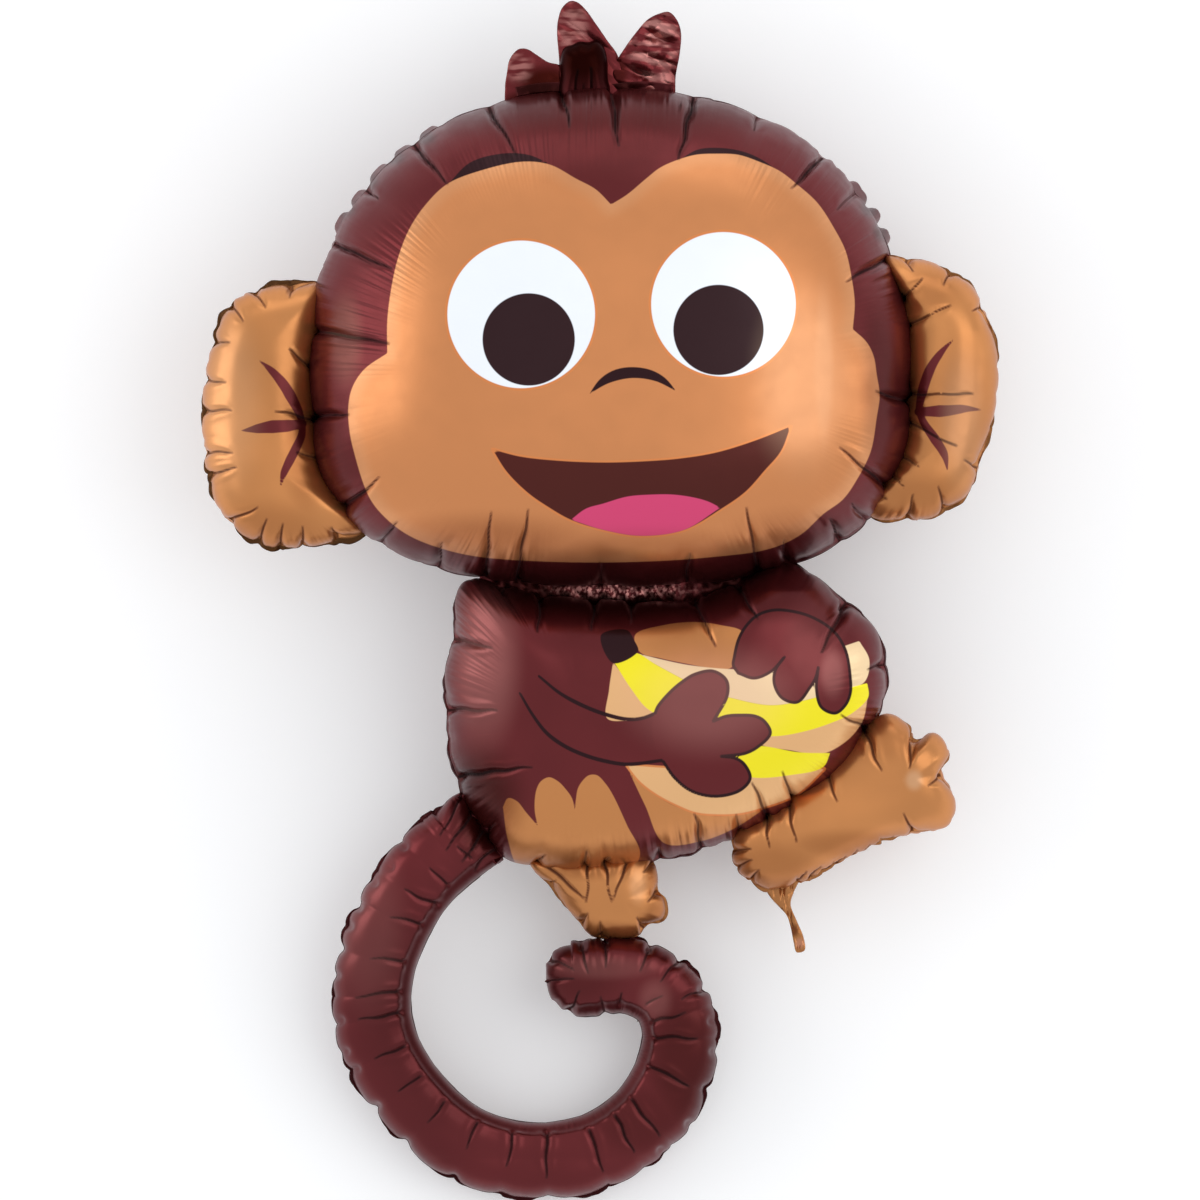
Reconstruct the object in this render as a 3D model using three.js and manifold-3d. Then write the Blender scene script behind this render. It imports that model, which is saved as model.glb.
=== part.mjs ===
// A foil balloon in the shape of a monkey, lying on its back with the printed front up.
// Two sheets of film are welded along one outline and along lines that part it into chambers:
// head, ears, body, tail, leg and foot. Each chamber is blown up into a pillow or a tube, its
// welded edge drawn into puckers. The tuft of hair and the filling neck are welded film with no air.
// Frame: millimetres, +X to the right of the front view, +Y to the top of the head, +Z up.

import * as THREE from "three";
import { mergeVertices } from "three/addons/utils/BufferGeometryUtils.js";
import Module from "manifold-3d";

const wasm = await Module();
wasm.setup();

// Driving dimensions, in millimetres.
const HEIGHT = 910; // from the tip of the tuft to the bottom of the tail
const HEAD_THICKNESS = 244;
const BODY_THICKNESS = 156;
const EAR_THICKNESS = 76;
const TAIL_THICKNESS = 58;
const LEG_THICKNESS = 72;
const FOOT_THICKNESS = 54;
const TUFT_AIR_THICKNESS = 30; // the little air-filled root in the middle of the tuft
const FILM_THICKNESS = 3; // welded film with no air in it
const PUCKER_DEPTH = 5; // how far a pucker draws the welded edge in
const RESTING_DENT = 3; // how far the back of the head is pressed flat where it lies

// The front view is drawn on a sheet 1200 units high, x to the right and y down from its corner.
const SHEET = 1200;
const UNIT = HEIGHT / SHEET;
const SHEET_MIDDLE = SHEET / 2;

// Outlines in the front view. An egg has four radii about one centre, and a fullness for its upper
// and its lower half: 2 is an ellipse, and more is squarer.
function egg({ x, y, left, right, up, down, fullUp, fullDown }, points = 48) {
  return Array.from({ length: points }, (_, i) => {
    const angle = (2 * Math.PI * i) / points;
    const across = Math.cos(angle);
    const along = Math.sin(angle);
    const full = along > 0 ? fullDown : fullUp;
    const reach = (value) => Math.sign(value) * Math.abs(value) ** (2 / full);
    return [
      x + reach(across) * (across > 0 ? right : left),
      y + reach(along) * (along > 0 ? down : up),
    ];
  });
}

const HEAD_EGG = {
  x: 610, y: 385, left: 304, right: 303, up: 297, down: 206, fullUp: 2.28, fullDown: 2.7,
};

// Places on the head's edge that the other chambers hang on, and an outline drawn from such a place.
const HEAD_MIDDLE = [HEAD_EGG.x, HEAD_EGG.y];
const HEAD_TOP = [HEAD_EGG.x, HEAD_EGG.y - HEAD_EGG.up];
const HEAD_LEFT = [HEAD_EGG.x - HEAD_EGG.left, HEAD_EGG.y];
const HEAD_RIGHT = [HEAD_EGG.x + HEAD_EGG.right, HEAD_EGG.y];
const NECK = [HEAD_EGG.x, HEAD_EGG.y + HEAD_EGG.down];

function from([x, y], offsets) {
  return offsets.map(([across, down]) => [x + across, y + down]);
}

const TUFT_AIR_EGG = {
  x: HEAD_TOP[0] - 27, y: HEAD_TOP[1] - 8, left: 25, right: 26, up: 40, down: 32, fullUp: 2, fullDown: 2,
};

const BODY_OUTLINE = from(NECK, [
  [-144, -15], [-65, -3], [10, 2], [90, -4], [174, -31], [230, 3], [268, 43], [278, 93], [252, 157],
  [190, 211], [110, 253], [30, 275], [-50, 280], [-108, 265], [-148, 209], [-166, 109], [-158, 39],
]);
const LEFT_EAR_OUTLINE = from(HEAD_LEFT, [
  [16, -101], [-31, -100], [-72, -84], [-95, -35], [-103, 30], [-96, 92], [-79, 134], [-40, 160],
  [14, 161], [58, 147], [30, 101], [15, 45], [13, -35],
]);
const RIGHT_EAR_OUTLINE = from(HEAD_RIGHT, [
  [-29, -128], [17, -123], [57, -100], [79, -58], [84, -10], [75, 57], [55, 109], [11, 135],
  [-47, 127], [-23, 85], [-10, 45], [-7, -25], [-13, -85],
]);
const LEG_OUTLINE = from(NECK, [
  [248, 137], [276, 124], [299, 135], [306, 149], [324, 143], [339, 161], [334, 183], [344, 205],
  [340, 231], [316, 242], [282, 247], [222, 276], [178, 298], [144, 295], [123, 271], [125, 239],
  [162, 215], [212, 179],
]);
const FOOT_OUTLINE = from(NECK, [
  [-78, 271], [-53, 302], [-31, 332], [-18, 345], [6, 348], [29, 345], [38, 335], [53, 327],
  [55, 309], [48, 297], [47, 281], [40, 265], [-20, 263],
]);
const TUFT_OUTLINE = from(HEAD_TOP, [
  [-102, 16], [-103, -16], [-97, -34], [-83, -39], [-65, -28], [-53, -21], [-50, -32], [-54, -56],
  [-50, -78], [-37, -87], [-23, -82], [-7, -62], [6, -43], [16, -42], [28, -58], [45, -73],
  [61, -75], [70, -56], [68, -26], [60, 16],
]);
const FILLING_NECK_OUTLINE = from(NECK, [
  [152, 285], [166, 312], [177, 333], [182, 349], [187, 362], [195, 360], [193, 345], [184, 323],
  [184, 308], [192, 279],
]);

// The weld lines that part the chambers, drawn down the middle of the flat film between them.
const WELD_WIDTH = 26;
const NECK_WELD = from(NECK, [[-126, -18], [-60, -6], [10, -1], [90, -6], [166, -29]]);
const LEFT_EAR_WELD = from(HEAD_LEFT, [
  [16, -89], [10, -45], [7, 15], [14, 65], [36, 115], [50, 135],
]);
const RIGHT_EAR_WELD = from(HEAD_RIGHT, [
  [-23, -117], [-8, -75], [-4, -15], [-8, 45], [-20, 80], [-41, 115],
]);
const LEG_WELD = from(NECK, [[134, 237], [170, 217], [216, 183], [252, 143]]);
const FOOT_WELD = from(NECK, [[-68, 277], [-20, 277], [36, 271]]);
const TAIL_WELD = from(NECK, [[-142, 209], [-120, 243], [-96, 265]]);

// The line down the middle of the tail, from the body to the curled tip.
const TAIL_LINE = from(NECK, [
  [-110, 227], [-152, 252], [-185, 281], [-213, 321], [-234, 371], [-238, 421], [-226, 464],
  [-198, 507], [-154, 547], [-100, 568], [-50, 570], [-2, 556], [40, 523], [64, 481], [70, 439],
  [56, 405], [20, 386], [-20, 387], [-64, 391],
]);
const TAIL_HALF_WIDTH = { root: 45, run: 38.5, blendOver: 0.14 };
const TAIL_ROOT_FLATNESS = 0.5; // the height of the tail's root, as a share of the height of its run

// Spines: the line on which a chamber is fullest. Its sheets fall from there to the welded edge.
const HEAD_SPINE = from(HEAD_MIDDLE, [[-50, -13], [54, -13]]);
const BODY_SPINE = from(NECK, [[-25, 137], [115, 113]]);
const LEFT_EAR_SPINE = from(HEAD_LEFT, [[-42, -33], [-34, 85]]);
const RIGHT_EAR_SPINE = from(HEAD_RIGHT, [[31, -55], [25, 63]]);
const LEG_SPINE = from(NECK, [[175, 251], [295, 189]]);
const FOOT_SPINE = from(NECK, [[-4, 295], [12, 309]]);
const TUFT_AIR_SPINE = from(HEAD_TOP, [[-27, -22], [-27, 4]]);

// The weld lies level in the head. From the neck down it slopes until the tail lies on the ground.
const HEAD_WELD_HEIGHT = HEAD_THICKNESS / 2 - RESTING_DENT;
const TAIL_WELD_HEIGHT = TAIL_THICKNESS / 2 - RESTING_DENT / 2;
const NECK_TO_TAIL_BOTTOM = 569;

function weldHeight(y) {
  const down = THREE.MathUtils.clamp((y - NECK[1]) / NECK_TO_TAIL_BOTTOM, 0, 1);
  return THREE.MathUtils.lerp(HEAD_WELD_HEIGHT, TAIL_WELD_HEIGHT, down);
}

// A point of the front view, lifted off the weld by rise millimetres.
function onSheet(x, y, rise = 0) {
  return new THREE.Vector3(
    (x - SHEET_MIDDLE) * UNIT,
    (SHEET_MIDDLE - y) * UNIT,
    weldHeight(y) + rise,
  );
}

// How finely the shapes are drawn.
const SECTORS_PER_PUCKER = 4;
const CURVE_DIVISIONS = 1200;
const STRIP_STEPS = 9;
const TUFT_POINTS = 48;
const FILLING_NECK_POINTS = 20;

// A pucker starts at this share of the way from the spine to the welded edge, and is full at this one.
const PUCKER_START = 0.68;
const PUCKER_FULL = 0.98;

// Points evenly spaced along a smooth closed outline, running counterclockwise seen from above.
function evenOutline(outline, count) {
  const corners = outline.map(([x, y]) => new THREE.Vector3(x, -y, 0));
  const curve = new THREE.CatmullRomCurve3(corners, true, "centripetal");
  curve.arcLengthDivisions = CURVE_DIVISIONS;
  const points = curve.getSpacedPoints(count).slice(0, count);
  if (THREE.ShapeUtils.area(points) < 0) points.reverse();
  return points.map((p) => [p.x, -p.y]);
}

// The point of a spine that is nearest to a point of the outline.
function nearestOnSpine([start, end], point) {
  const line = new THREE.Line3(new THREE.Vector3(...start, 0), new THREE.Vector3(...end, 0));
  const found = line.closestPointToPoint(new THREE.Vector3(...point, 0), true, new THREE.Vector3());
  return [found.x, found.y];
}

// How much of a pucker is left at a share of the way from the spine to the welded edge.
function puckerFade(share) {
  return THREE.MathUtils.smoothstep(share, PUCKER_START, PUCKER_FULL);
}

// A chamber of two sheets that are welded along an outline and blown up to a thickness.
// A sheet's height falls from the spine as the square root of 1 less the cube of the share of the
// way to the edge, which is the shape that film takes as it can't stretch.
function pillow({ outline, spine, thickness, puckers, rings }) {
  const sectors = puckers * SECTORS_PER_PUCKER;
  const edge = evenOutline(outline, sectors);
  const roots = edge.map((point) => nearestOnSpine(spine, point));
  const positions = [];
  const triangles = [];

  function addRing(ring, side) {
    const slope = (Math.PI / 2) * (ring / rings);
    const share = Math.sin(slope) ** (2 / 3);
    edge.forEach(([x, y], sector) => {
      const [rootX, rootY] = roots[sector];
      const root = onSheet(rootX, rootY);
      const point = onSheet(
        rootX + (x - rootX) * share,
        rootY + (y - rootY) * share,
        side * (thickness / 2) * Math.cos(slope),
      );
      if (sector % SECTORS_PER_PUCKER === 0) {
        const inward = root.sub(point).setLength(PUCKER_DEPTH * puckerFade(share));
        point.add(inward);
      }
      positions.push(...point);
    });
    return positions.length / 3 - sectors;
  }

  function joinRings(inner, outer, side) {
    for (let sector = 0; sector < sectors; sector++) {
      const next = (sector + 1) % sectors;
      const corners = [inner + sector, outer + sector, outer + next, inner + next];
      if (side < 0) corners.reverse();
      const [a, b, c, d] = corners;
      triangles.push(a, b, c, a, c, d);
    }
  }

  function capRing(ring, side) {
    const [start, end] = spine;
    const middle = [(start[0] + end[0]) / 2, (start[1] + end[1]) / 2];
    positions.push(...onSheet(...middle, (side * thickness) / 2));
    const pole = positions.length / 3 - 1;
    for (let sector = 0; sector < sectors; sector++) {
      const next = (sector + 1) % sectors;
      const corners = [pole, ring + sector, ring + next];
      if (side < 0) corners.reverse();
      triangles.push(...corners);
    }
  }

  const weld = addRing(rings, 1);
  for (const side of [1, -1]) {
    let inner = addRing(1, side);
    capRing(inner, side);
    for (let ring = 2; ring < rings; ring++) {
      const outer = addRing(ring, side);
      joinRings(inner, outer, side);
      inner = outer;
    }
    joinRings(inner, weld, side);
  }
  return closedGeometry(positions, triangles);
}

// A tube of film along a line, flattened at its root, with a rounded tip and puckers on both edges.
function tailTube({ line, thickness, puckers, sides }) {
  const steps = puckers * SECTORS_PER_PUCKER;
  const curve = new THREE.CatmullRomCurve3(line.map(([x, y]) => new THREE.Vector3(x, y, 0)));
  curve.arcLengthDivisions = CURVE_DIVISIONS;
  const length = curve.getLength();
  const { root, run, blendOver } = TAIL_HALF_WIDTH;
  const positions = [];
  const triangles = [];

  for (let step = 0; step < steps; step++) {
    const share = step / steps;
    const middle = curve.getPointAt(share);
    const along = curve.getTangentAt(share);
    const fromTip = ((1 - share) * length) / run;
    const rounding = Math.sqrt(1 - Math.max(0, 1 - fromTip) ** 2);
    const opened = THREE.MathUtils.smoothstep(share, 0, blendOver);
    const halfWidth = THREE.MathUtils.lerp(root, run, opened) * rounding;
    const halfHeight = (thickness / 2) * THREE.MathUtils.lerp(TAIL_ROOT_FLATNESS, 1, opened) * rounding;
    const puckered = step > 0 && step % SECTORS_PER_PUCKER === 0;
    for (let side = 0; side < sides; side++) {
      const angle = (2 * Math.PI * side) / sides;
      const toEdge = Math.abs(Math.cos(angle));
      const drawnIn = puckered ? (PUCKER_DEPTH / UNIT) * toEdge ** 3 : 0;
      const across = Math.cos(angle) * (halfWidth - Math.min(drawnIn, halfWidth / 2));
      const rise = Math.sin(angle) * halfHeight;
      positions.push(...onSheet(middle.x - along.y * across, middle.y + along.x * across, rise));
    }
  }
  for (let step = 0; step + 1 < steps; step++)
    for (let side = 0; side < sides; side++) {
      const next = (side + 1) % sides;
      const a = step * sides + side;
      const b = step * sides + next;
      triangles.push(a, a + sides, b + sides, a, b + sides, b);
    }

  function capEnd(share, ring, atTip) {
    const end = curve.getPointAt(share);
    positions.push(...onSheet(end.x, end.y));
    const pole = positions.length / 3 - 1;
    for (let side = 0; side < sides; side++) {
      const corners = [pole, ring + side, ring + ((side + 1) % sides)];
      if (atTip) corners.reverse();
      triangles.push(...corners);
    }
  }
  capEnd(0, 0, false);
  capEnd(1, (steps - 1) * sides, true);
  return closedGeometry(positions, triangles);
}

// Welded film with no air: a thin plate lying along the weld.
function plate(edge) {
  const shape = new THREE.Shape(edge.map(([x, y]) => new THREE.Vector2(x, y)));
  const geometry = new THREE.ExtrudeGeometry(shape, { depth: 1, bevelEnabled: false });
  const points = geometry.getAttribute("position");
  for (let i = 0; i < points.count; i++) {
    const rise = (points.getZ(i) - 0.5) * FILM_THICKNESS;
    points.setXYZ(i, ...onSheet(points.getX(i), points.getY(i), rise));
  }
  return geometry;
}

// A strip of flat film along a weld line.
function weldStrip(line) {
  const curve = new THREE.CatmullRomCurve3(line.map(([x, y]) => new THREE.Vector3(x, y, 0)));
  const sideAt = (side, step) => {
    const middle = curve.getPointAt(step / STRIP_STEPS);
    const along = curve.getTangentAt(step / STRIP_STEPS);
    const off = (side * WELD_WIDTH) / 2;
    return [middle.x - along.y * off, middle.y + along.x * off];
  };
  const steps = Array.from({ length: STRIP_STEPS + 1 }, (_, step) => step);
  const oneSide = steps.map((step) => sideAt(1, step));
  const otherSide = steps.map((step) => sideAt(-1, step)).reverse();
  return plate([...oneSide, ...otherSide]);
}

function closedGeometry(positions, triangles) {
  const geometry = new THREE.BufferGeometry();
  geometry.setAttribute("position", new THREE.Float32BufferAttribute(positions, 3));
  geometry.setIndex(triangles);
  return geometry;
}

// A closed geometry as a solid that can be joined and cut.
function solid(geometry) {
  const bare = new THREE.BufferGeometry();
  bare.setAttribute("position", geometry.getAttribute("position"));
  if (geometry.index) bare.setIndex(geometry.index);
  const merged = mergeVertices(bare, 1e-4);
  const made = new wasm.Manifold(
    new wasm.Mesh({
      numProp: 3,
      vertProperties: merged.attributes.position.array,
      triVerts: new Uint32Array(merged.index.array),
    }),
  );
  return made.volume() < 0 ? solid(insideOut(merged)) : made;
}

function insideOut(geometry) {
  const triangles = Array.from(geometry.index.array);
  return closedGeometry(Array.from(geometry.attributes.position.array), triangles.reverse());
}

function geometryOf(manifold) {
  const { numVert, numProp, vertProperties, triVerts } = manifold.getMesh();
  const positions = new Float32Array(numVert * 3);
  for (let i = 0; i < numVert; i++)
    positions.set(vertProperties.subarray(i * numProp, i * numProp + 3), i * 3);
  const geometry = new THREE.BufferGeometry();
  geometry.setAttribute("position", new THREE.BufferAttribute(positions, 3));
  geometry.setIndex(new THREE.BufferAttribute(triVerts, 1));
  return geometry;
}

const CHAMBERS = [
  pillow({
    outline: egg(HEAD_EGG), spine: HEAD_SPINE, thickness: HEAD_THICKNESS, puckers: 26, rings: 6,
  }),
  pillow({
    outline: BODY_OUTLINE, spine: BODY_SPINE, thickness: BODY_THICKNESS, puckers: 19, rings: 5,
  }),
  pillow({
    outline: LEFT_EAR_OUTLINE, spine: LEFT_EAR_SPINE, thickness: EAR_THICKNESS, puckers: 14, rings: 4,
  }),
  pillow({
    outline: RIGHT_EAR_OUTLINE, spine: RIGHT_EAR_SPINE, thickness: EAR_THICKNESS, puckers: 14, rings: 4,
  }),
  pillow({
    outline: LEG_OUTLINE, spine: LEG_SPINE, thickness: LEG_THICKNESS, puckers: 12, rings: 4,
  }),
  pillow({
    outline: FOOT_OUTLINE, spine: FOOT_SPINE, thickness: FOOT_THICKNESS, puckers: 8, rings: 4,
  }),
  pillow({
    outline: egg(TUFT_AIR_EGG), spine: TUFT_AIR_SPINE, thickness: TUFT_AIR_THICKNESS, puckers: 4,
    rings: 4,
  }),
  tailTube({ line: TAIL_LINE, thickness: TAIL_THICKNESS, puckers: 21, sides: 10 }),
];
const WELDED_FILM = [
  plate(evenOutline(TUFT_OUTLINE, TUFT_POINTS)),
  plate(evenOutline(FILLING_NECK_OUTLINE, FILLING_NECK_POINTS)),
  ...[NECK_WELD, LEFT_EAR_WELD, RIGHT_EAR_WELD, LEG_WELD, FOOT_WELD, TAIL_WELD].map(weldStrip),
];

// All chambers are one envelope. What would reach below the ground is pressed flat.
function envelope() {
  const joined = [...CHAMBERS, ...WELDED_FILM].map(solid).reduce((all, piece) => all.add(piece));
  const ground = new THREE.BoxGeometry(2 * HEIGHT, 2 * HEIGHT, HEIGHT);
  ground.translate(0, 0, -HEIGHT / 2);
  const geometry = geometryOf(joined.subtract(solid(ground)));
  geometry.computeBoundingBox();
  const middle = geometry.boundingBox.getCenter(new THREE.Vector3());
  return geometry.translate(-middle.x, -middle.y, 0);
}

const printedFoil = new THREE.MeshStandardMaterial({
  color: 0x5c2c2d,
  roughness: 0.3,
  metalness: 0.5,
});
const foilEnvelope = new THREE.Mesh(envelope(), printedFoil);
foilEnvelope.name = "foil_envelope";

const monkeyBalloon = new THREE.Group();
monkeyBalloon.add(foilEnvelope);

export default monkeyBalloon;
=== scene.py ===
# A foil balloon in the shape of a monkey, lying on its back with the printed front up.
# Every chamber of the balloon is a pillow or a tube of film with its puckers, creases and print.
# Places in the front view are in pixels of a sheet 1200 wide and high, x to the right and y down.

import math

import bpy
import numpy as np
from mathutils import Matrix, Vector


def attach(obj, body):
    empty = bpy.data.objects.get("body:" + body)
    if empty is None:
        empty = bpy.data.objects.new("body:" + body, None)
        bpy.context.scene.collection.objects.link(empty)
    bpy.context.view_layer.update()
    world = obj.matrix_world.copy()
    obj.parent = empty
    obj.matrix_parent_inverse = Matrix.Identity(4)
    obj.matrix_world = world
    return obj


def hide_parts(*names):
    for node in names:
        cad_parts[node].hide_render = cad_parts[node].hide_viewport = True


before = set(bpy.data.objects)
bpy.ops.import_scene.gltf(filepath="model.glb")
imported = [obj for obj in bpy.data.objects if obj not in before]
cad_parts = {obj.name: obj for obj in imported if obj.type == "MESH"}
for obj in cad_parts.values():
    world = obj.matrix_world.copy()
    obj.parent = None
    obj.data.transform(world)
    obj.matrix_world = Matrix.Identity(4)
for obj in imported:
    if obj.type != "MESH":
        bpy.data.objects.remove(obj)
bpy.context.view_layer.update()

bl_info = {
    "name": "Monkey foil balloon",
    "version": (1, 0, 0),
    "blender": (4, 5, 0),
    "location": "3D View > Sidebar > Balloon",
    "description": "Builds a foil balloon in the shape of a monkey, its print and a plain studio",
    "category": "Object",
}

NODE = "foil_envelope"
BODY = "root"

# The sheet of the front view, and how it lies in the frame.
SHEET = 1200
HEIGHT = 0.910
PIXEL = HEIGHT / SHEET
SHEET_MIDDLE = SHEET / 2
NECK_Y = 591
TAIL_BOTTOM_Y = 1160
HEAD_WELD_HEIGHT = 0.119
TAIL_WELD_HEIGHT = 0.0275

# How far out of the spine blown-up film lies: the sine of its slope, to this power.
FILM_POWER = 2 / 3


def weld_height(y):
    """Height of the weld over the floor: level in the head, then down to the tail on the floor."""
    down = np.clip((y - NECK_Y) / (TAIL_BOTTOM_Y - NECK_Y), 0.0, 1.0)
    return HEAD_WELD_HEIGHT + (TAIL_WELD_HEIGHT - HEAD_WELD_HEIGHT) * down


def to_world(x, y, rise):
    """Points of the sheet, lifted off the weld by rise metres, in the frame's metres."""
    return np.stack([(x - SHEET_MIDDLE) * PIXEL, (SHEET_MIDDLE - y) * PIXEL, weld_height(y) + rise], -1)


def to_sheet(points):
    """The place on the sheet of points of the frame."""
    return np.stack([points[..., 0] / PIXEL + SHEET_MIDDLE, SHEET_MIDDLE - points[..., 1] / PIXEL], -1)


# Curves on the sheet


def smoothstep(low, high, value):
    share = np.clip((value - low) / (high - low), 0.0, 1.0)
    return share * share * (3 - 2 * share)


def curve_through(points, closed, steps=24):
    """A smooth curve through points, as a dense line: a centripetal Catmull-Rom curve."""
    given = np.array(points, float)
    if closed:
        knots = np.vstack([given[-1:], given, given[:2]])
    else:
        knots = np.vstack([2 * given[:1] - given[1:2], given, 2 * given[-1:] - given[-2:-1]])
    share = np.linspace(0, 1, steps, endpoint=False)[:, None]
    cube, square = share ** 3, share ** 2
    line = []
    for before, start, end, after in zip(knots, knots[1:], knots[2:], knots[3:]):
        first, middle, last = (
            max(np.linalg.norm(b - a), 1e-6) ** 0.5
            for a, b in ((before, start), (start, end), (end, after))
        )
        leave = (start - before) / first - (end - before) / (first + middle) + (end - start) / middle
        arrive = (end - start) / middle - (after - start) / (middle + last) + (after - end) / last
        line.append(
            (2 * cube - 3 * square + 1) * start + (cube - 2 * square + share) * leave * middle
            + (3 * square - 2 * cube) * end + (cube - square) * arrive * middle
        )
    if not closed:
        line.append(given[-1:])
    return np.vstack(line)


def along(line, closed):
    """Length from the start of a line to each of its points, with the way back to the start if closed."""
    points = np.vstack([line, line[:1]]) if closed else line
    return points, np.r_[0, np.cumsum(np.linalg.norm(np.diff(points, axis=0), axis=1))]


def evenly(line, count, closed):
    """That many points, evenly spaced along a line."""
    points, length = along(line, closed)
    at = np.linspace(0, length[-1], count, endpoint=not closed)
    return np.stack([np.interp(at, length, points[:, axis]) for axis in (0, 1)], -1)


def counterclockwise(line):
    """The line turned so that it runs counterclockwise on the sheet, whose y points down."""
    x, y = line.T
    area = np.sum(x * np.roll(y, -1) - np.roll(x, -1) * y)
    return line if area < 0 else line[::-1]


def egg(x, y, left, right, up, down, full_up=2.0, full_down=2.0):
    """An egg about one centre. A fullness of 2 is an ellipse, and more is squarer."""
    angle = np.linspace(0, 2 * np.pi, 720, endpoint=False)
    across, below = np.cos(angle), np.sin(angle)
    full = np.where(below > 0, full_down, full_up)
    reach_x = np.sign(across) * np.abs(across) ** (2 / full) * np.where(across > 0, right, left)
    reach_y = np.sign(below) * np.abs(below) ** (2 / full) * np.where(below > 0, down, up)
    return np.stack([x + reach_x, y + reach_y], -1)


def cornered(*runs):
    """A closed outline of smooth runs that meet in sharp corners."""
    return np.vstack([curve_through(run, closed=False)[:-1] for run in runs])


# Distances on the sheet, for print and creases


def nearest(points, line, closed):
    """For each point: distance to a line, place along it from 0 to 1, and on which side it lies."""
    ends, length = along(line, closed)
    start, step = ends[:-1], np.diff(ends, axis=0)
    size = np.maximum((step ** 2).sum(-1), 1e-12)
    best = np.full(len(points), np.inf)
    place = np.zeros(len(points))
    side = np.zeros(len(points))
    for first, way, squared, at, span in zip(start, step, size, length, np.diff(length)):
        offset = points - first
        share = np.clip((offset @ way) / squared, 0, 1)
        gap = offset - share[:, None] * way
        distance = np.hypot(gap[:, 0], gap[:, 1])
        closer = distance < best
        best[closer] = distance[closer]
        place[closer] = (at + share[closer] * span) / length[-1]
        side[closer] = np.sign(way[0] * offset[closer, 1] - way[1] * offset[closer, 0])
    return best, place, side


def inside(points, outline):
    """Is each point inside a closed outline: how often a ray from it crosses the outline."""
    x, y = points.T
    crossed = np.zeros(len(points), bool)
    for (ax, ay), (bx, by) in zip(outline, np.roll(outline, -1, axis=0)):
        spans = (ay > y) != (by > y)
        if spans.any():
            crossed ^= spans & (x < (bx - ax) * (y - ay) / (by - ay + 1e-12) + ax)
    return crossed


FAR = 30.0


def region(points, outline):
    """Pixels from each point to a closed outline: positive inside, negative outside."""
    low, high = outline.min(0) - FAR, outline.max(0) + FAR
    near = ((points > low) & (points < high)).all(-1)
    field = np.full(len(points), -FAR)
    if near.any():
        thin = outline[:: max(1, len(outline) // 260)]
        distance = nearest(points[near], thin, closed=True)[0]
        field[near] = np.where(inside(points[near], thin), distance, -distance)
    return np.clip(field, -FAR, FAR)


def stroke(points, line, widths):
    """Pixels into a stroke whose width changes along its line."""
    dense = curve_through(line, closed=False, steps=10)
    distance, place, _ = nearest(points, dense, closed=False)
    width = np.interp(place, np.linspace(0, 1, len(widths)), widths)
    return np.clip(width / 2 - distance, -FAR, FAR)


# The chambers' outlines, spines and creases

HEAD_OUTLINE = egg(610, 385, 304, 303, 297, 201, full_up=2.28, full_down=2.7)
BODY_OUTLINE = curve_through([
    (466, 580), (545, 597), (620, 603), (700, 596), (784, 563), (840, 594), (878, 634), (888, 684),
    (862, 748), (800, 802), (720, 844), (640, 866), (560, 871), (502, 856), (462, 800), (444, 700),
    (452, 630),
], closed=True)
LEFT_EAR_OUTLINE = curve_through([
    (322, 284), (275, 285), (234, 301), (211, 350), (203, 415), (210, 477), (227, 519), (266, 545),
    (320, 546), (364, 532), (336, 486), (321, 430), (319, 350),
], closed=True)
RIGHT_EAR_OUTLINE = curve_through([
    (884, 257), (930, 262), (970, 285), (992, 327), (997, 375), (988, 442), (968, 494), (924, 520),
    (866, 512), (890, 470), (903, 430), (906, 360), (900, 300),
], closed=True)
LEG_OUTLINE = curve_through([
    (858, 728), (886, 715), (909, 726), (916, 740), (934, 734), (949, 752), (944, 774), (954, 796),
    (950, 822), (926, 833), (892, 838), (832, 867), (788, 889), (754, 886), (733, 862), (735, 830),
    (772, 806), (822, 770),
], closed=True)
FOOT_OUTLINE = curve_through([
    (532, 862), (557, 893), (579, 923), (592, 936), (616, 939), (639, 936), (648, 926), (663, 918),
    (665, 900), (658, 888), (657, 872), (650, 856), (590, 854),
], closed=True)
TUFT_ROOT_OUTLINE = curve_through([
    (561, 62), (565, 49), (573, 46), (580, 43), (588, 44), (596, 42), (602, 47), (606, 60), (608, 78),
    (612, 92), (607, 112), (583, 116), (561, 112), (557, 92), (560, 76),
], closed=True)
TUFT_ROOT_CREASES = [((572, 112), (578, 70)), ((595, 112), (590, 68)), ((583, 114), (583, 84))]

TAIL_LINE = [
    (486, 824), (458, 843), (425, 872), (397, 912), (376, 962), (372, 1012), (384, 1055), (412, 1098),
    (456, 1138), (510, 1159), (560, 1161), (608, 1147), (650, 1114), (674, 1072), (680, 1030),
    (666, 996), (630, 977), (590, 978), (546, 982),
]

# A crease runs from the welded edge to where it fades out.
HEAD_CREASES = [
    ((489, 107), (517, 156)), ((416, 148), (449, 186)), ((366, 190), (378, 199)), ((336, 245), (392, 270)),
    ((562, 90), (570, 129)), ((612, 90), (618, 146)), ((693, 99), (679, 160)), ((758, 118), (754, 130)),
    ((817, 163), (790, 190)), ((886, 261), (846, 282)), ((910, 401), (876, 392)), ((884, 484), (839, 448)),
    ((862, 515), (852, 505)), ((350, 503), (380, 478)), ((387, 536), (397, 523)), ((486, 570), (491, 512)),
    ((519, 566), (529, 510)), ((687, 583), (689, 552)), ((757, 567), (746, 508)), ((786, 561), (784, 541)),
    ((838, 536), (830, 520)), ((317, 332), (389, 344)), ((312, 417), (348, 415)), ((440, 556), (442, 544)),
    ((600, 588), (602, 566)), ((848, 200), (838, 209)),
]
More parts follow.
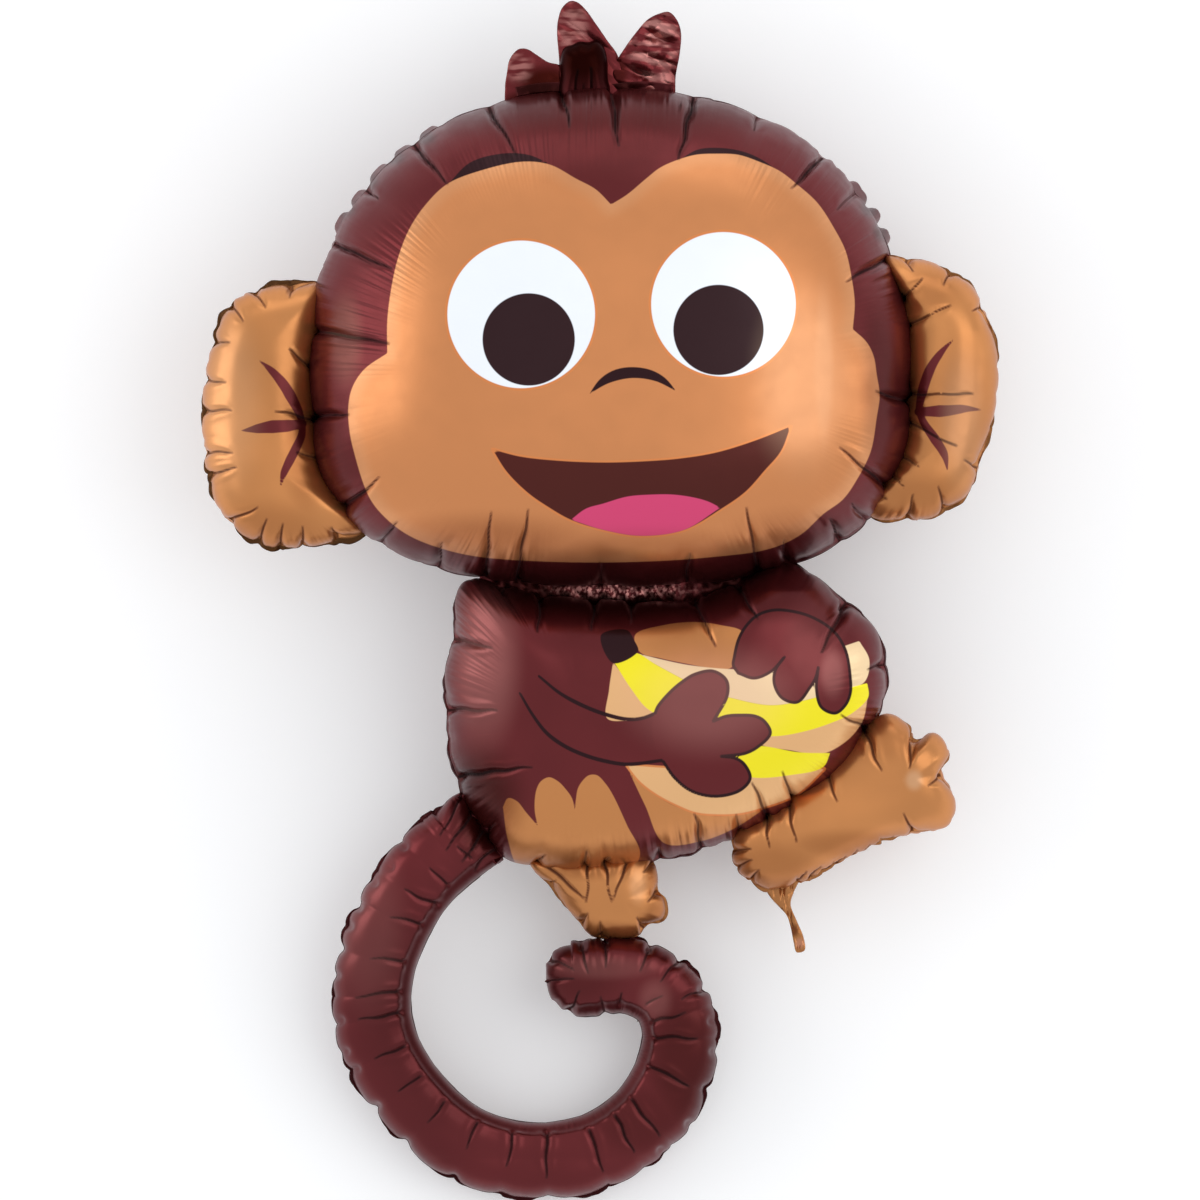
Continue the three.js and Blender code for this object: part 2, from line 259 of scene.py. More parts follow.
# The head's back sheet bulges out past the weld at two places.
HEAD_BACK_CREASES = [
    ((322, 262), (334, 268)), ((336, 236), (348, 244)), ((344, 205), (356, 214)), ((365, 184), (376, 194)),
    ((392, 161), (400, 172)), ((416, 144), (424, 156)), ((442, 126), (448, 140)), ((846, 180), (838, 192)),
    ((868, 206), (858, 214)), ((876, 226), (866, 232)), ((888, 248), (876, 252)),
]
BACK_LOBES = (((388, 180), 92), ((868, 216), 48))
BODY_CREASES = [
    ((456, 640), (492, 648)), ((448, 710), (497, 711)), ((464, 777), (532, 767)), ((542, 588), (538, 632)),
    ((595, 592), (592, 631)), ((631, 592), (631, 624)), ((536, 868), (545, 854)), ((586, 870), (586, 850)),
    ((605, 869), (610, 858)), ((690, 588), (715, 646)), ((733, 578), (757, 619)), ((848, 602), (821, 652)),
    ((886, 665), (868, 669)), ((870, 730), (840, 715)), ((768, 818), (752, 782)), ((794, 800), (782, 771)),
    ((702, 849), (695, 814)), ((741, 832), (736, 815)), ((660, 862), (660, 850)), ((480, 836), (495, 826)),
    ((505, 580), (507, 596)),
]
LEFT_EAR_CREASES = [
    ((216, 342), (230, 343)), ((207, 380), (226, 383)), ((205, 410), (232, 411)), ((209, 453), (233, 452)),
    ((212, 473), (237, 468)), ((235, 519), (258, 507)), ((255, 293), (266, 307)), ((291, 284), (290, 297)),
    ((230, 306), (244, 321)), ((259, 542), (267, 519)), ((280, 546), (284, 524)), ((303, 547), (303, 527)),
    ((338, 541), (333, 528)), ((320, 371), (290, 350)), ((320, 420), (276, 411)), ((328, 459), (298, 453)),
]
RIGHT_EAR_CREASES = [
    ((900, 300), (922, 279)), ((904, 326), (950, 306)), ((905, 395), (972, 394)), ((903, 421), (956, 446)),
    ((884, 468), (903, 488)), ((895, 455), (919, 466)), ((985, 470), (964, 461)), ((945, 511), (938, 487)),
    ((908, 518), (913, 495)), ((908, 259), (913, 271)), ((951, 272), (943, 285)), ((984, 305), (972, 312)),
    ((875, 496), (886, 500)),
]
LEG_CREASES = [
    ((764, 812), (769, 848)), ((786, 800), (796, 842)), ((824, 770), (838, 801)), ((866, 735), (881, 771)),
    ((913, 735), (909, 768)), ((949, 773), (928, 785)), ((912, 834), (904, 813)), ((733, 851), (750, 850)),
    ((737, 868), (751, 861)), ((748, 884), (758, 871)), ((800, 884), (806, 872)), ((812, 878), (822, 868)),
    ((824, 873), (834, 863)), ((836, 867), (846, 857)), ((848, 861), (858, 851)), ((860, 855), (870, 845)),
    ((872, 850), (882, 840)), ((884, 845), (893, 836)),
]
FOOT_CREASES = [
    ((588, 858), (587, 902)), ((604, 858), (611, 902)), ((546, 866), (584, 899)), ((628, 860), (614, 898)),
    ((660, 890), (648, 902)), ((645, 930), (638, 918)),
    ((600, 938), (601, 922)), ((580, 925), (588, 914)), ((548, 884), (556, 880)), ((655, 862), (644, 872)),
]
TAIL_CREASES = [
    ((432, 926), (390, 917)), ((414, 961), (370, 959)), ((410, 990), (355, 998)), ((412, 1012), (358, 1021)),
    ((416, 1043), (374, 1060)), ((430, 1070), (398, 1093)), ((452, 1094), (428, 1124)),
    ((482, 1112), (466, 1150)), ((515, 1122), (507, 1168)), ((547, 1122), (546, 1180)),
    ((585, 1120), (604, 1174)), ((610, 1106), (634, 1154)), ((624, 1092), (660, 1137)),
    ((640, 1062), (690, 1087)), ((643, 1038), (698, 1039)), ((641, 1026), (686, 1014)),
    ((638, 1012), (662, 996)), ((618, 1014), (622, 994)),
]
# The creases above start at a ridge that runs this far inside the tail's inner edge.
RIDGE_INSET = 13
TAIL_END_CREASES = [
    ((470, 858), (458, 846)), ((446, 884), (430, 868)), ((436, 905), (404, 890)), ((581, 944), (588, 974)),
    ((605, 941), (606, 968)), ((650, 947), (640, 972)), ((679, 960), (660, 982)), ((704, 990), (682, 1000)),
    ((569, 1014), (580, 992)), ((606, 1018), (600, 998)), ((547, 980), (574, 980)), ((551, 959), (574, 970)),
    ((466, 786), (440, 836)), ((478, 808), (446, 850)), ((488, 828), (462, 862)), ((500, 844), (474, 872)),
]
# Places where the tail's weld is drawn in between two bulges.
TAIL_NOTCHES = [
    (403, 846), (389, 866), (373, 882), (357, 907), (348, 926), (339, 948), (335, 976), (339, 1021),
    (344, 1053), (355, 1071), (375, 1108), (403, 1144), (453, 1181), (662, 1153), (690, 1126), (708, 1090),
    (715, 1053), (713, 1022), (703, 990), (679, 961), (650, 949), (605, 942), (581, 946), (551, 960),
    (547, 984), (556, 1006), (569, 1013), (606, 1018),
]

SPINES = {
    "head": ((560, 372), (664, 372)),
    "body": ((585, 728), (725, 704)),
    "left_ear": ((264, 352), (272, 470)),
    "right_ear": ((944, 330), (938, 448)),
    "leg": ((785, 842), (905, 780)),
    "foot": ((606, 886), (622, 900)),
    "tuft_root": ((583, 66), (583, 92)),
}


# Painted shade and painted highlights: soft ovals of the sheet where the film's colour is darkened, where it
# would mirror a dark neighbour or lie in shade, and lightened where light would shine on it.
SHADOWS = {
    "head": ((480, 545, 150, 40, 0.45), (640, 556, 230, 34, 0.35), (800, 540, 90, 40, 0.3),
             (600, 104, 250, 50, 0.52), (600, 150, 90, 60, 0.3), (330, 480, 40, 90, 0.35),
             (878, 385, 24, 120, 0.45),
             (345, 206, 15, 17, 0.85), (366, 180, 17, 15, 0.85), (393, 157, 17, 12, 0.85),
             (424, 138, 17, 10, 0.85), (870, 207, 13, 15, 0.8), (881, 231, 11, 15, 0.8)),
    "body": ((476, 800, 62, 70, 0.85), (610, 600, 190, 34, 0.6), (600, 874, 150, 30, 0.4),
             (760, 600, 60, 30, 0.4), (690, 645, 60, 30, 0.15)),
    "tail": ((486, 822, 46, 50, 0.85), (690, 1060, 60, 110, 0.6), (640, 1120, 70, 50, 0.4),
             (580, 975, 60, 40, 0.3), (460, 1080, 80, 60, 0.2), (406, 1000, 50, 130, 0.2)),
    "left_ear": ((306, 430, 30, 110, 0.45), (270, 530, 70, 40, 0.25)),
    "right_ear": ((900, 400, 24, 110, 0.45), (925, 500, 60, 40, 0.25), (930, 290, 40, 30, 0.25),
                  (962, 410, 40, 90, 0.3)),
    "leg": ((770, 870, 70, 40, 0.3), (880, 740, 60, 30, 0.2), (860, 845, 90, 20, 0.35)),
    "foot": ((590, 868, 60, 16, 0.4), (655, 915, 14, 20, 0.35), (600, 932, 60, 14, 0.35)),
    "tuft_left_flap": ((547, 82, 42, 24, 1.0), (520, 102, 24, 14, 0.8)),
    "tuft_middle_flap": ((600, 76, 18, 36, 0.7), (562, 74, 8, 26, 0.8), (576, 13, 12, 6, 0.5),
                         (573, 33, 14, 5, 0.5)),
    "tuft_right_flap": ((618, 72, 16, 24, 0.8), (640, 92, 44, 9, 0.85), (636, 54, 14, 5, 0.5),
                        (662, 62, 16, 5, 0.6), (654, 22, 14, 4, 0.5), (650, 76, 12, 5, 0.5)),
    "tuft_root": ((584, 56, 44, 44, 1.0),),
    "tuft_left_fold": ((540, 90, 40, 14, 0.9),),
    "tuft_right_fold": ((622, 88, 26, 12, 0.8),),
    "filling_neck": ((793, 931, 9, 9, 0.85), (776, 884, 22, 9, 0.5)),
    "neck_weld": ((530, 590, 60, 30, 0.8), (740, 584, 60, 30, 0.9), (625, 604, 150, 12, 0.8)),
}
SHEENS = {
    "head": ((822, 372, 18, 110, 0.16), (800, 380, 60, 120, 0.12), (345, 340, 24, 60, 0.05)),
    "body": ((486, 660, 44, 110, 0.13), (712, 700, 110, 70, 0.14), (812, 650, 40, 70, 0.03),
             (832, 672, 18, 34, 0.12)),
    "left_ear": ((228, 400, 44, 120, 0.1),),
    "tail": ((366, 920, 50, 120, 0.05), (606, 968, 70, 16, 0.06), (655, 1000, 22, 28, 0.08)),
    "right_ear": ((962, 420, 30, 90, 0.1),),
    "tuft_left_flap": ((519, 66, 18, 22, 0.3),),
    "tuft_middle_flap": ((573, 30, 20, 34, 0.36),),
    "tuft_right_flap": ((654, 44, 34, 44, 0.45), (656, 80, 26, 16, 0.3)),
    "neck_weld": ((622, 590, 90, 12, 0.3),),
    "foot": ((638, 886, 12, 24, 0.12),),
    "leg": ((914, 780, 12, 14, 0.25),),
    "filling_neck": ((800, 944, 6, 8, 0.2),),
}


# Building a chamber's surface


# Waves that add up to a swell, and folds that add up to crushed film, with a fold's mean height.
SWELL_WAVES = 9
CRUSHED_FOLDS = 7
MEAN_FOLD = 0.64


def undulation(points, height, length, seed):
    """A slow, uneven swell in metres, of that height and wave length."""
    random = np.random.default_rng(seed)
    total = np.zeros(points.shape[:-1])
    for _ in range(SWELL_WAVES):
        way = random.normal(size=3)
        way *= 2 * np.pi / (length * random.uniform(0.7, 1.6)) / np.linalg.norm(way)
        total += np.sin(points @ way + random.uniform(0, 2 * np.pi))
    return total * height / 3


def crumple(points, height, length, seed, squeeze=1.0):
    """Sharp-edged facets, as in crushed film, of that height and size in metres."""
    random = np.random.default_rng(seed)
    total = np.zeros(points.shape[:-1])
    points = points[..., :2] * (1.0, squeeze)
    for _ in range(CRUSHED_FOLDS):
        angle = random.uniform(0, np.pi)
        way = np.array([math.cos(angle), math.sin(angle)]) * np.pi / (length * random.uniform(0.6, 1.8))
        bend = np.sin(points[..., 0] / length * 1.3 + random.uniform(0, 6)) * 0.5
        total += np.abs(np.sin(points @ way + random.uniform(0, np.pi) + bend)) - MEAN_FOLD
    return total * height / 2.2


# Creases, in pixels of the sheet. Short ones are shallower and thinner than long ones.
SHORT_CREASE_DEPTH = 0.45
FULL_DEPTH_LENGTH = 70
SHORT_CREASE_LINE = 0.55
FULL_LINE_LENGTH = 90
LINE_WIDTH = 2.8
# The film stands up a little on both sides of a groove. Place and width are in reaches of the groove.
SHOULDER_HEIGHT = 0.34
SHOULDER_PLACE = 2.8
SHOULDER_WIDTH = 1.8


def crease_fields(places, creases, depth, width, seed, before=30):
    """How deep creases press a surface in, in metres, and how far inside their dark lines of painted shade
    places lie.
    """
    random = np.random.default_rng(seed)
    deepest = np.zeros(places.shape[:-1])
    ink_and_crease_shade = np.full(places.shape[:-1], -FAR)
    for start, end in creases:
        start, end = np.array(start, float), np.array(end, float)
        way = end - start
        length = np.linalg.norm(way)
        way /= length
        offset = places - start
        run = offset @ way
        share = np.clip(run / length, 0, 1)
        wobble = np.sin(run * random.uniform(0.12, 0.22) + random.uniform(0, 6)) * random.uniform(0.3, 1.1)
        across = np.abs(offset @ np.array([-way[1], way[0]]) - wobble)
        taper = (1 - share ** 2.5) ** 0.7
        reach = width * (0.45 + 0.55 * taper)
        fade_in = smoothstep(-before - 4, -before, run)
        full_depth = depth * min(1.0, SHORT_CREASE_DEPTH + length / FULL_DEPTH_LENGTH)
        groove = np.exp(-((across / reach) ** 1.15))
        beside = (across - SHOULDER_PLACE * reach) / (SHOULDER_WIDTH * reach)
        shoulder = SHOULDER_HEIGHT * np.exp(-(beside ** 2))
        press = full_depth * taper * fade_in * (run < length) * (groove - shoulder)
        deepest = np.where(np.abs(press) > np.abs(deepest), press, deepest)
        # The dark line along a crease's bottom is painted shade, in pixels of the sheet.
        full_width = LINE_WIDTH * min(1.0, SHORT_CREASE_LINE + length / FULL_LINE_LENGTH)
        line = full_width * (0.3 + 0.7 * taper) / 2 - across * (0.5 + 0.5 * taper)
        ink_and_crease_shade = np.maximum(ink_and_crease_shade, np.minimum(line, np.minimum(run + before, length - run) / 3))
    return deepest, np.clip(ink_and_crease_shade, -FAR, FAR)


def lobes(at, starts, perimeter):
    """Between two creases film bulges: 0 at each crease, 1 half-way, with the width of each bulge."""
    starts = np.sort(starts)
    edges = np.r_[starts[-1] - perimeter, starts, starts[0] + perimeter]
    which = np.clip(np.searchsorted(edges, at, side="right") - 1, 0, len(edges) - 2)
    width = edges[which + 1] - edges[which]
    share = (at - edges[which]) / np.maximum(width, 1e-6)
    return 1 - np.abs(2 * share - 1) ** 2.4, width


def random_creases(edge, roots, pitch, reach, seed):
    """Creases at about that pitch round an outline, reaching inwards by about reach pixels."""
    random = np.random.default_rng(seed)
    _, length = along(edge, closed=True)
    count = max(6, int(round(length[-1] / pitch)))
    places = (np.arange(count) + random.uniform(-0.3, 0.3, count)) / count
    made = []
    for place in places:
        index = int(place * len(edge)) % len(edge)
        start, root = edge[index], roots[index]
        way = (root - start) / np.linalg.norm(root - start)
        turn = random.uniform(-0.15, 0.15)
        way = np.array([way[0] - turn * way[1], way[1] + turn * way[0]])
        made.append((tuple(start), tuple(start + way * reach * random.uniform(0.5, 1.4))))
    return made


def surface_normals(grid):
    """Unit normals of a closed grid of points, rings by sectors, pointing out of its front."""
    down = np.gradient(grid, axis=0)
    round_ = np.roll(grid, -1, axis=1) - np.roll(grid, 1, axis=1)
    normal = np.cross(down, round_)
    return normal / np.maximum(np.linalg.norm(normal, axis=-1, keepdims=True), 1e-12)


def even_slopes(reach, thickness, shares):
    """Slopes of the film at shares of the way from spine to weld, and how far each is from the weld."""
    slopes = np.linspace(0, np.pi / 2, 400)
    out, rise = np.sin(slopes) ** FILM_POWER * reach, np.cos(slopes) * thickness / 2
    film = np.r_[0, np.cumsum(np.hypot(np.diff(out), np.diff(rise)))]
    slope = np.interp(shares, film / film[-1], slopes)
    return slope, film[-1] - np.interp(slope, slopes, film)


def fold_out(sides, ring, sector, front_rings):
    """Values of the front's and the back's grids, in the order of the ball's vertices."""
    back_rings = len(sides[-1]) - 1
    front = ring <= front_rings
    values = np.empty((len(ring),) + sides[1].shape[2:])
    values[front] = sides[1][ring[front], sector[front]]
    back_ring = front_rings + back_rings - ring[~front]
    values[~front] = sides[-1][back_ring, sector[~front]]
    return values


def select_only(piece):
    bpy.ops.object.select_all(action="DESELECT")
    piece.select_set(True)
    bpy.context.view_layer.objects.active = piece


def add_grid(name, columns, rows):
    """A flat grid to be shaped: its object, each vertex's column, and its share of the way up."""
    bpy.ops.object.select_all(action="DESELECT")
    bpy.ops.mesh.primitive_grid_add(x_subdivisions=columns, y_subdivisions=rows, size=2, calc_uvs=True)
    grid = bpy.context.object
    grid.name = name
    grid.data.name = name
    flat = read_points(grid)
    column = np.rint((flat[:, 0] + 1) / 2 * columns).astype(int)
    return grid, column, (flat[:, 1] + 1) / 2


def add_ball(name, sectors, rings):
    """A ball to be shaped, rolled up from a flat grid: its object, and each vertex's ring and sector."""
    ball, column, up = add_grid(name, sectors, rings)
    return ball, np.rint((1 - up) * rings).astype(int), column % sectors


def merge_doubles(piece, threshold):
    """Sew a piece where its points coincide, as at the seam and the poles of a rolled grid."""
    select_only(piece)
    bpy.ops.object.mode_set(mode="EDIT")
    bpy.ops.mesh.select_all(action="SELECT")
    bpy.ops.mesh.remove_doubles(threshold=threshold)
    bpy.ops.object.mode_set(mode="OBJECT")


def read_points(piece):
    points = np.empty(len(piece.data.vertices) * 3)
    piece.data.vertices.foreach_get("co", points)
    return points.reshape(-1, 3)


def write_points(piece, points):
    piece.data.vertices.foreach_set("co", np.ascontiguousarray(points, float).ravel())
    piece.data.update()


def write_field(piece, name, values):
    """One number at each vertex, for the piece's material."""
    attribute = piece.data.attributes.new(name, "FLOAT", "POINT")
    attribute.data.foreach_set("value", np.ascontiguousarray(values, np.float32))


def read_field(piece, name):
    values = np.empty(len(piece.data.vertices), np.float32)
    piece.data.attributes[name].data.foreach_get("value", values)
    return values


def write_film_map(piece, weld_length, from_weld, along_axis=0):
    """A UV map in metres: along the weld by one axis of the grid's own map, and the way from the weld."""
    mesh = piece.data
    corners = np.empty(len(mesh.loops), int)
    mesh.loops.foreach_get("vertex_index", corners)
    layer = mesh.uv_layers[0]
    values = np.empty(2 * len(corners))
    layer.data.foreach_get("uv", values)
    values = values.reshape(-1, 2)
    values[:, 0] = values[:, along_axis] * weld_length
    values[:, 1] = from_weld[corners]
    layer.name = "film"
    layer.data.foreach_set("uv", values.astype(np.float32).ravel())


def write_ovals(piece, name, ovals):
    """How much each vertex lies in soft ovals of the sheet: middle, half sizes and strength of each."""
    x, y = to_sheet(read_points(piece)).T
    total = np.zeros(len(x))
    for middle_x, middle_y, across, down, strength in ovals:
        radius = np.hypot((x - middle_x) / across, (y - middle_y) / down)
        total = np.maximum(total, strength * (1 - smoothstep(0.3, 1.0, radius)))
    write_field(piece, name, total)


def finish_piece(piece, material):
    """Its painted shade and painted highlights, smooth shading, its material, and its place in the frame."""
    write_ovals(piece, "shadow", SHADOWS.get(piece.name, ()))
    write_ovals(piece, "sheen", SHEENS.get(piece.name, ()))
    select_only(piece)
    bpy.ops.object.shade_smooth()
    piece.data.materials.clear()
    piece.data.materials.append(material)
    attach(piece, BODY)
    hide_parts(NODE)


# Blown-up film. Slopes are in degrees: 0 on the spine and 90 at the weld.
BULGES_SET_IN = (38, 74)
BULGES_WEAKEN = (84, 90)
WEAKENING = 0.75
BULGE_LEVEL = 0.8
WIDEST_BULGE = 0.075
BULGE_GAIN = 1.6
LOBES_SET_IN = (35, 70)
LOBES_END = (85, 90)
LOBE_HEIGHT = 0.0052
LOBE_RIM = (0.8, 1.0)
GROOVES_SET_IN = (0, 25)
SWELLS_SET_IN = (0, 14)
SWELL_LENGTH = 0.16
RELIEF_ENDS = (87, 90)
RING_CROWDING = 0.96
# Steps of a spine and of the weld's wave, and the bulge with a full notch beside it, in pixels.
SPINE_STEP = 4
WAVE_STEP = 13
NOTCHED_BULGE = 30
LEAST_NOTCH = 0.35
BACK_NOTCH = 0.5
WELD_ZONE = (0.72, 1.0)
SEAM_GAP = 0.000002


def roots_on_spine(edge, spine):
    """The places on a spine that film runs to from an edge, and the same on steps that can be sewn."""
    start, end = np.array(spine[0], float), np.array(spine[1], float)
    way = end - start
    share = np.clip((edge - start) @ way / (way @ way), 0, 1)
    steps = max(1, int(np.linalg.norm(way) / SPINE_STEP))
    return start + share[:, None] * way, start + np.rint(share * steps)[:, None] / steps * way


def ways_out(edge, roots):
    """The direction that leads straight out of a chamber, at each point of its edge."""
    way = np.roll(edge, 1, axis=0) - np.roll(edge, -1, axis=0)
    outward = np.stack([-way[:, 1], way[:, 0]], -1)
    outward /= np.linalg.norm(outward, axis=1, keepdims=True)
    return outward * np.sign(np.sum(outward * (edge - roots), axis=1, keepdims=True))


def slow_wave(at, perimeter, seed):
    """An uneven wave of height 1 round a weld, smoothed over nine points."""
    knots = int(perimeter / WAVE_STEP) + 1
    heights = np.random.default_rng(seed).normal(size=knots)
    wave = np.interp(at, np.linspace(0, perimeter, knots), heights)
    return np.convolve(np.r_[wave[-8:], wave, wave[:8]], np.ones(9) / 9, "same")[8:-8]


def add_pillow(
    name, outline, spine, thickness, creases, sectors, front_rings, back_rings,
    crease_depth, crease_width, back_pitch, swell, bulge=0.055, weld_wave=0.0028, scallop=4.0,
    back_creases=(), back_lobes=(), seed=1,
):
    """A chamber of two sheets of film, welded along an outline and blown up to a thickness."""
    pillow, ring, sector = add_ball(name, sectors, front_rings + back_rings)
    edge = counterclockwise(evenly(outline, sectors, closed=True))
    roots, spine_roots = roots_on_spine(edge, spine)
    _, edge_length = along(edge, closed=True)
    at, perimeter = edge_length[:-1], edge_length[-1]
    back = [
        fold for fold in random_creases(edge, roots, back_pitch, 1.2 * back_pitch, seed + 1)
        if all(math.dist(fold[0], centre) > radius for centre, radius in back_lobes)
    ]
    back += list(back_creases)
    lobed = np.zeros(sectors)
    for centre, radius in back_lobes:
        gap = np.linalg.norm(edge - centre, axis=1)
        lobed = np.maximum(lobed, 1 - smoothstep(*LOBE_RIM, gap / radius))
    reach = np.mean(np.linalg.norm(edge - roots, axis=1)) * PIXEL
    grids = {}
    to_weld = {}
    dents = {}
    lines = {}
    notches = []
    for side, count, folds in ((1, front_rings, creases), (-1, back_rings, back)):
        # Rings are evenly spaced along the film, from the spine to the weld.
        slope, film = even_slopes(reach, thickness, np.linspace(0, 1, count + 1) ** RING_CROWDING)
        slope = slope[:, None]
        degrees = np.degrees(slope)
        places = roots + (edge - roots) * (np.sin(slope) ** FILM_POWER)[..., None]
        places[0] = spine_roots
        rise = side * thickness / 2 * np.cos(slope)
        grid = to_world(places[..., 0], places[..., 1], np.broadcast_to(rise, places.shape[:-1]))
        normals = surface_normals(grid)
        normals[0] = (0, 0, 1)
        normals *= np.sign(normals[count // 2, 0, 2]) * side
        starts = [at[np.argmin(np.linalg.norm(edge - np.array(fold[0]), axis=1))] for fold in folds]
        bulged, width = lobes(at, np.array(starts), perimeter)
        weakening = 1 - WEAKENING * smoothstep(*BULGES_WEAKEN, degrees)
        swelling = smoothstep(*BULGES_SET_IN, degrees) * weakening
        span = np.clip(width * PIXEL, 0, WIDEST_BULGE)
        lift = (bulged - BULGE_LEVEL) * span * bulge * BULGE_GAIN * swelling
        if side == -1:
            lobe = smoothstep(*LOBES_SET_IN, degrees) * (1 - smoothstep(*LOBES_END, degrees))
            lift = lift + LOBE_HEIGHT * lobed * bulged * lobe
        notch = (1 - bulged) * np.clip(width / NOTCHED_BULGE, LEAST_NOTCH, 1)
        notches.append(notch * (1.0 if side == 1 else BACK_NOTCH))
        pressed, lines[side] = crease_fields(
            to_sheet(grid), folds, crease_depth, crease_width, seed + 3 * side,
        )
        dents[side] = pressed * smoothstep(*GROOVES_SET_IN, degrees)
        swells = undulation(grid, swell, SWELL_LENGTH, seed + 11) * smoothstep(*SWELLS_SET_IN, degrees)
        lift = (lift - dents[side] + swells) * (1 - smoothstep(*RELIEF_ENDS, degrees))
        grids[side] = grid + normals * lift[..., None]
        to_weld[side] = film[:, None] * np.ones(sectors)
    # The weld itself is drawn in at the creases of both sheets, and waves up and down.
    drawn = np.maximum(*notches) * scallop
    shift = -ways_out(edge, roots) * drawn[:, None]
    waving = slow_wave(at, perimeter, seed) * weld_wave
    for side in (1, -1):
        near_weld = smoothstep(*WELD_ZONE, np.linspace(0, 1, len(grids[side])))[:, None]
        grids[side][..., 0] += near_weld * shift[:, 0] * PIXEL
        grids[side][..., 1] -= near_weld * shift[:, 1] * PIXEL
        grids[side][..., 2] += near_weld * waving
    points = fold_out(grids, ring, sector, front_rings)
    points[:, 2] = np.maximum(points[:, 2], 0.0)
    write_points(pillow, points)
    write_film_map(pillow, perimeter * PIXEL, fold_out(to_weld, ring, sector, front_rings))
    write_field(pillow, "fold", fold_out(dents, ring, sector, front_rings))
    write_field(pillow, "crease", fold_out(lines, ring, sector, front_rings))
    write_field(pillow, "front", ring <= front_rings)
    merge_doubles(pillow, SEAM_GAP)
    return pillow, read_field(pillow, "front") > 0.5, grids[1][-1]


def draw_in(places, centres, notches, depth=3.6, radius=5.0):
    """Places of the sheet pulled in towards centres around each notch, in pixels."""
    inwards = centres - places
    inwards /= np.maximum(np.linalg.norm(inwards, axis=-1, keepdims=True), 1e-6)
    drawn = np.zeros(places.shape[:-1])
    for notch in notches:
        gap = np.linalg.norm(places - np.array(notch, float), axis=-1)
        drawn = np.maximum(drawn, depth * np.exp(-((gap / radius) ** 2)))
    return places + inwards * drawn[..., None]


def shortened(crease, inset):
    """A crease that starts further along, by inset pixels or two fifths of its length."""
    start, end = np.array(crease[0], float), np.array(crease[1], float)
    length = np.linalg.norm(end - start)
    return start + (end - start) * min(inset / length, 0.4), end


# The tail's tube. Its sizes are in pixels of the sheet, its relief in metres.
TIP_CROWDING = 0.12
WIDTH_RUN_IN = 0.14
ROOT_ROUNDING = 5
RIDGE = (24, 3.5, 0.0007)
VALLEY = (31, 4.0, 0.0012)
TUBE_CREASE_DEPTH = 0.0024
TUBE_CREASE_WIDTH = 2.3
TUBE_BULGE = 0.085
TUBE_BULGE_LEVEL = 0.7
INNER_SIDE_BULGE = 0.08
UPPER_SIDE = -0.05
WIDEST_TUBE_BULGE = 0.05
TUBE_SWELL = 0.0008
TUBE_SWELL_LENGTH = 0.09
POLE_ZONE = 0.006
# Rings of the tube's root and tip that carry no weld margin.
BARE_ROOT_RINGS = 6
BARE_TIP_RINGS = 12


def rounded(distance, radius):
    """The height of a round end of radius 1, at a distance from its tip."""
    return np.sqrt(np.clip(1 - (1 - np.clip(distance / radius, 0, 1)) ** 2, 0, 1))


def relief_band(inner, middle, width, height):
    """A rounded ridge of that height along the tube's inner side."""
    return np.exp(-(((inner - middle) / width) ** 2)) * height


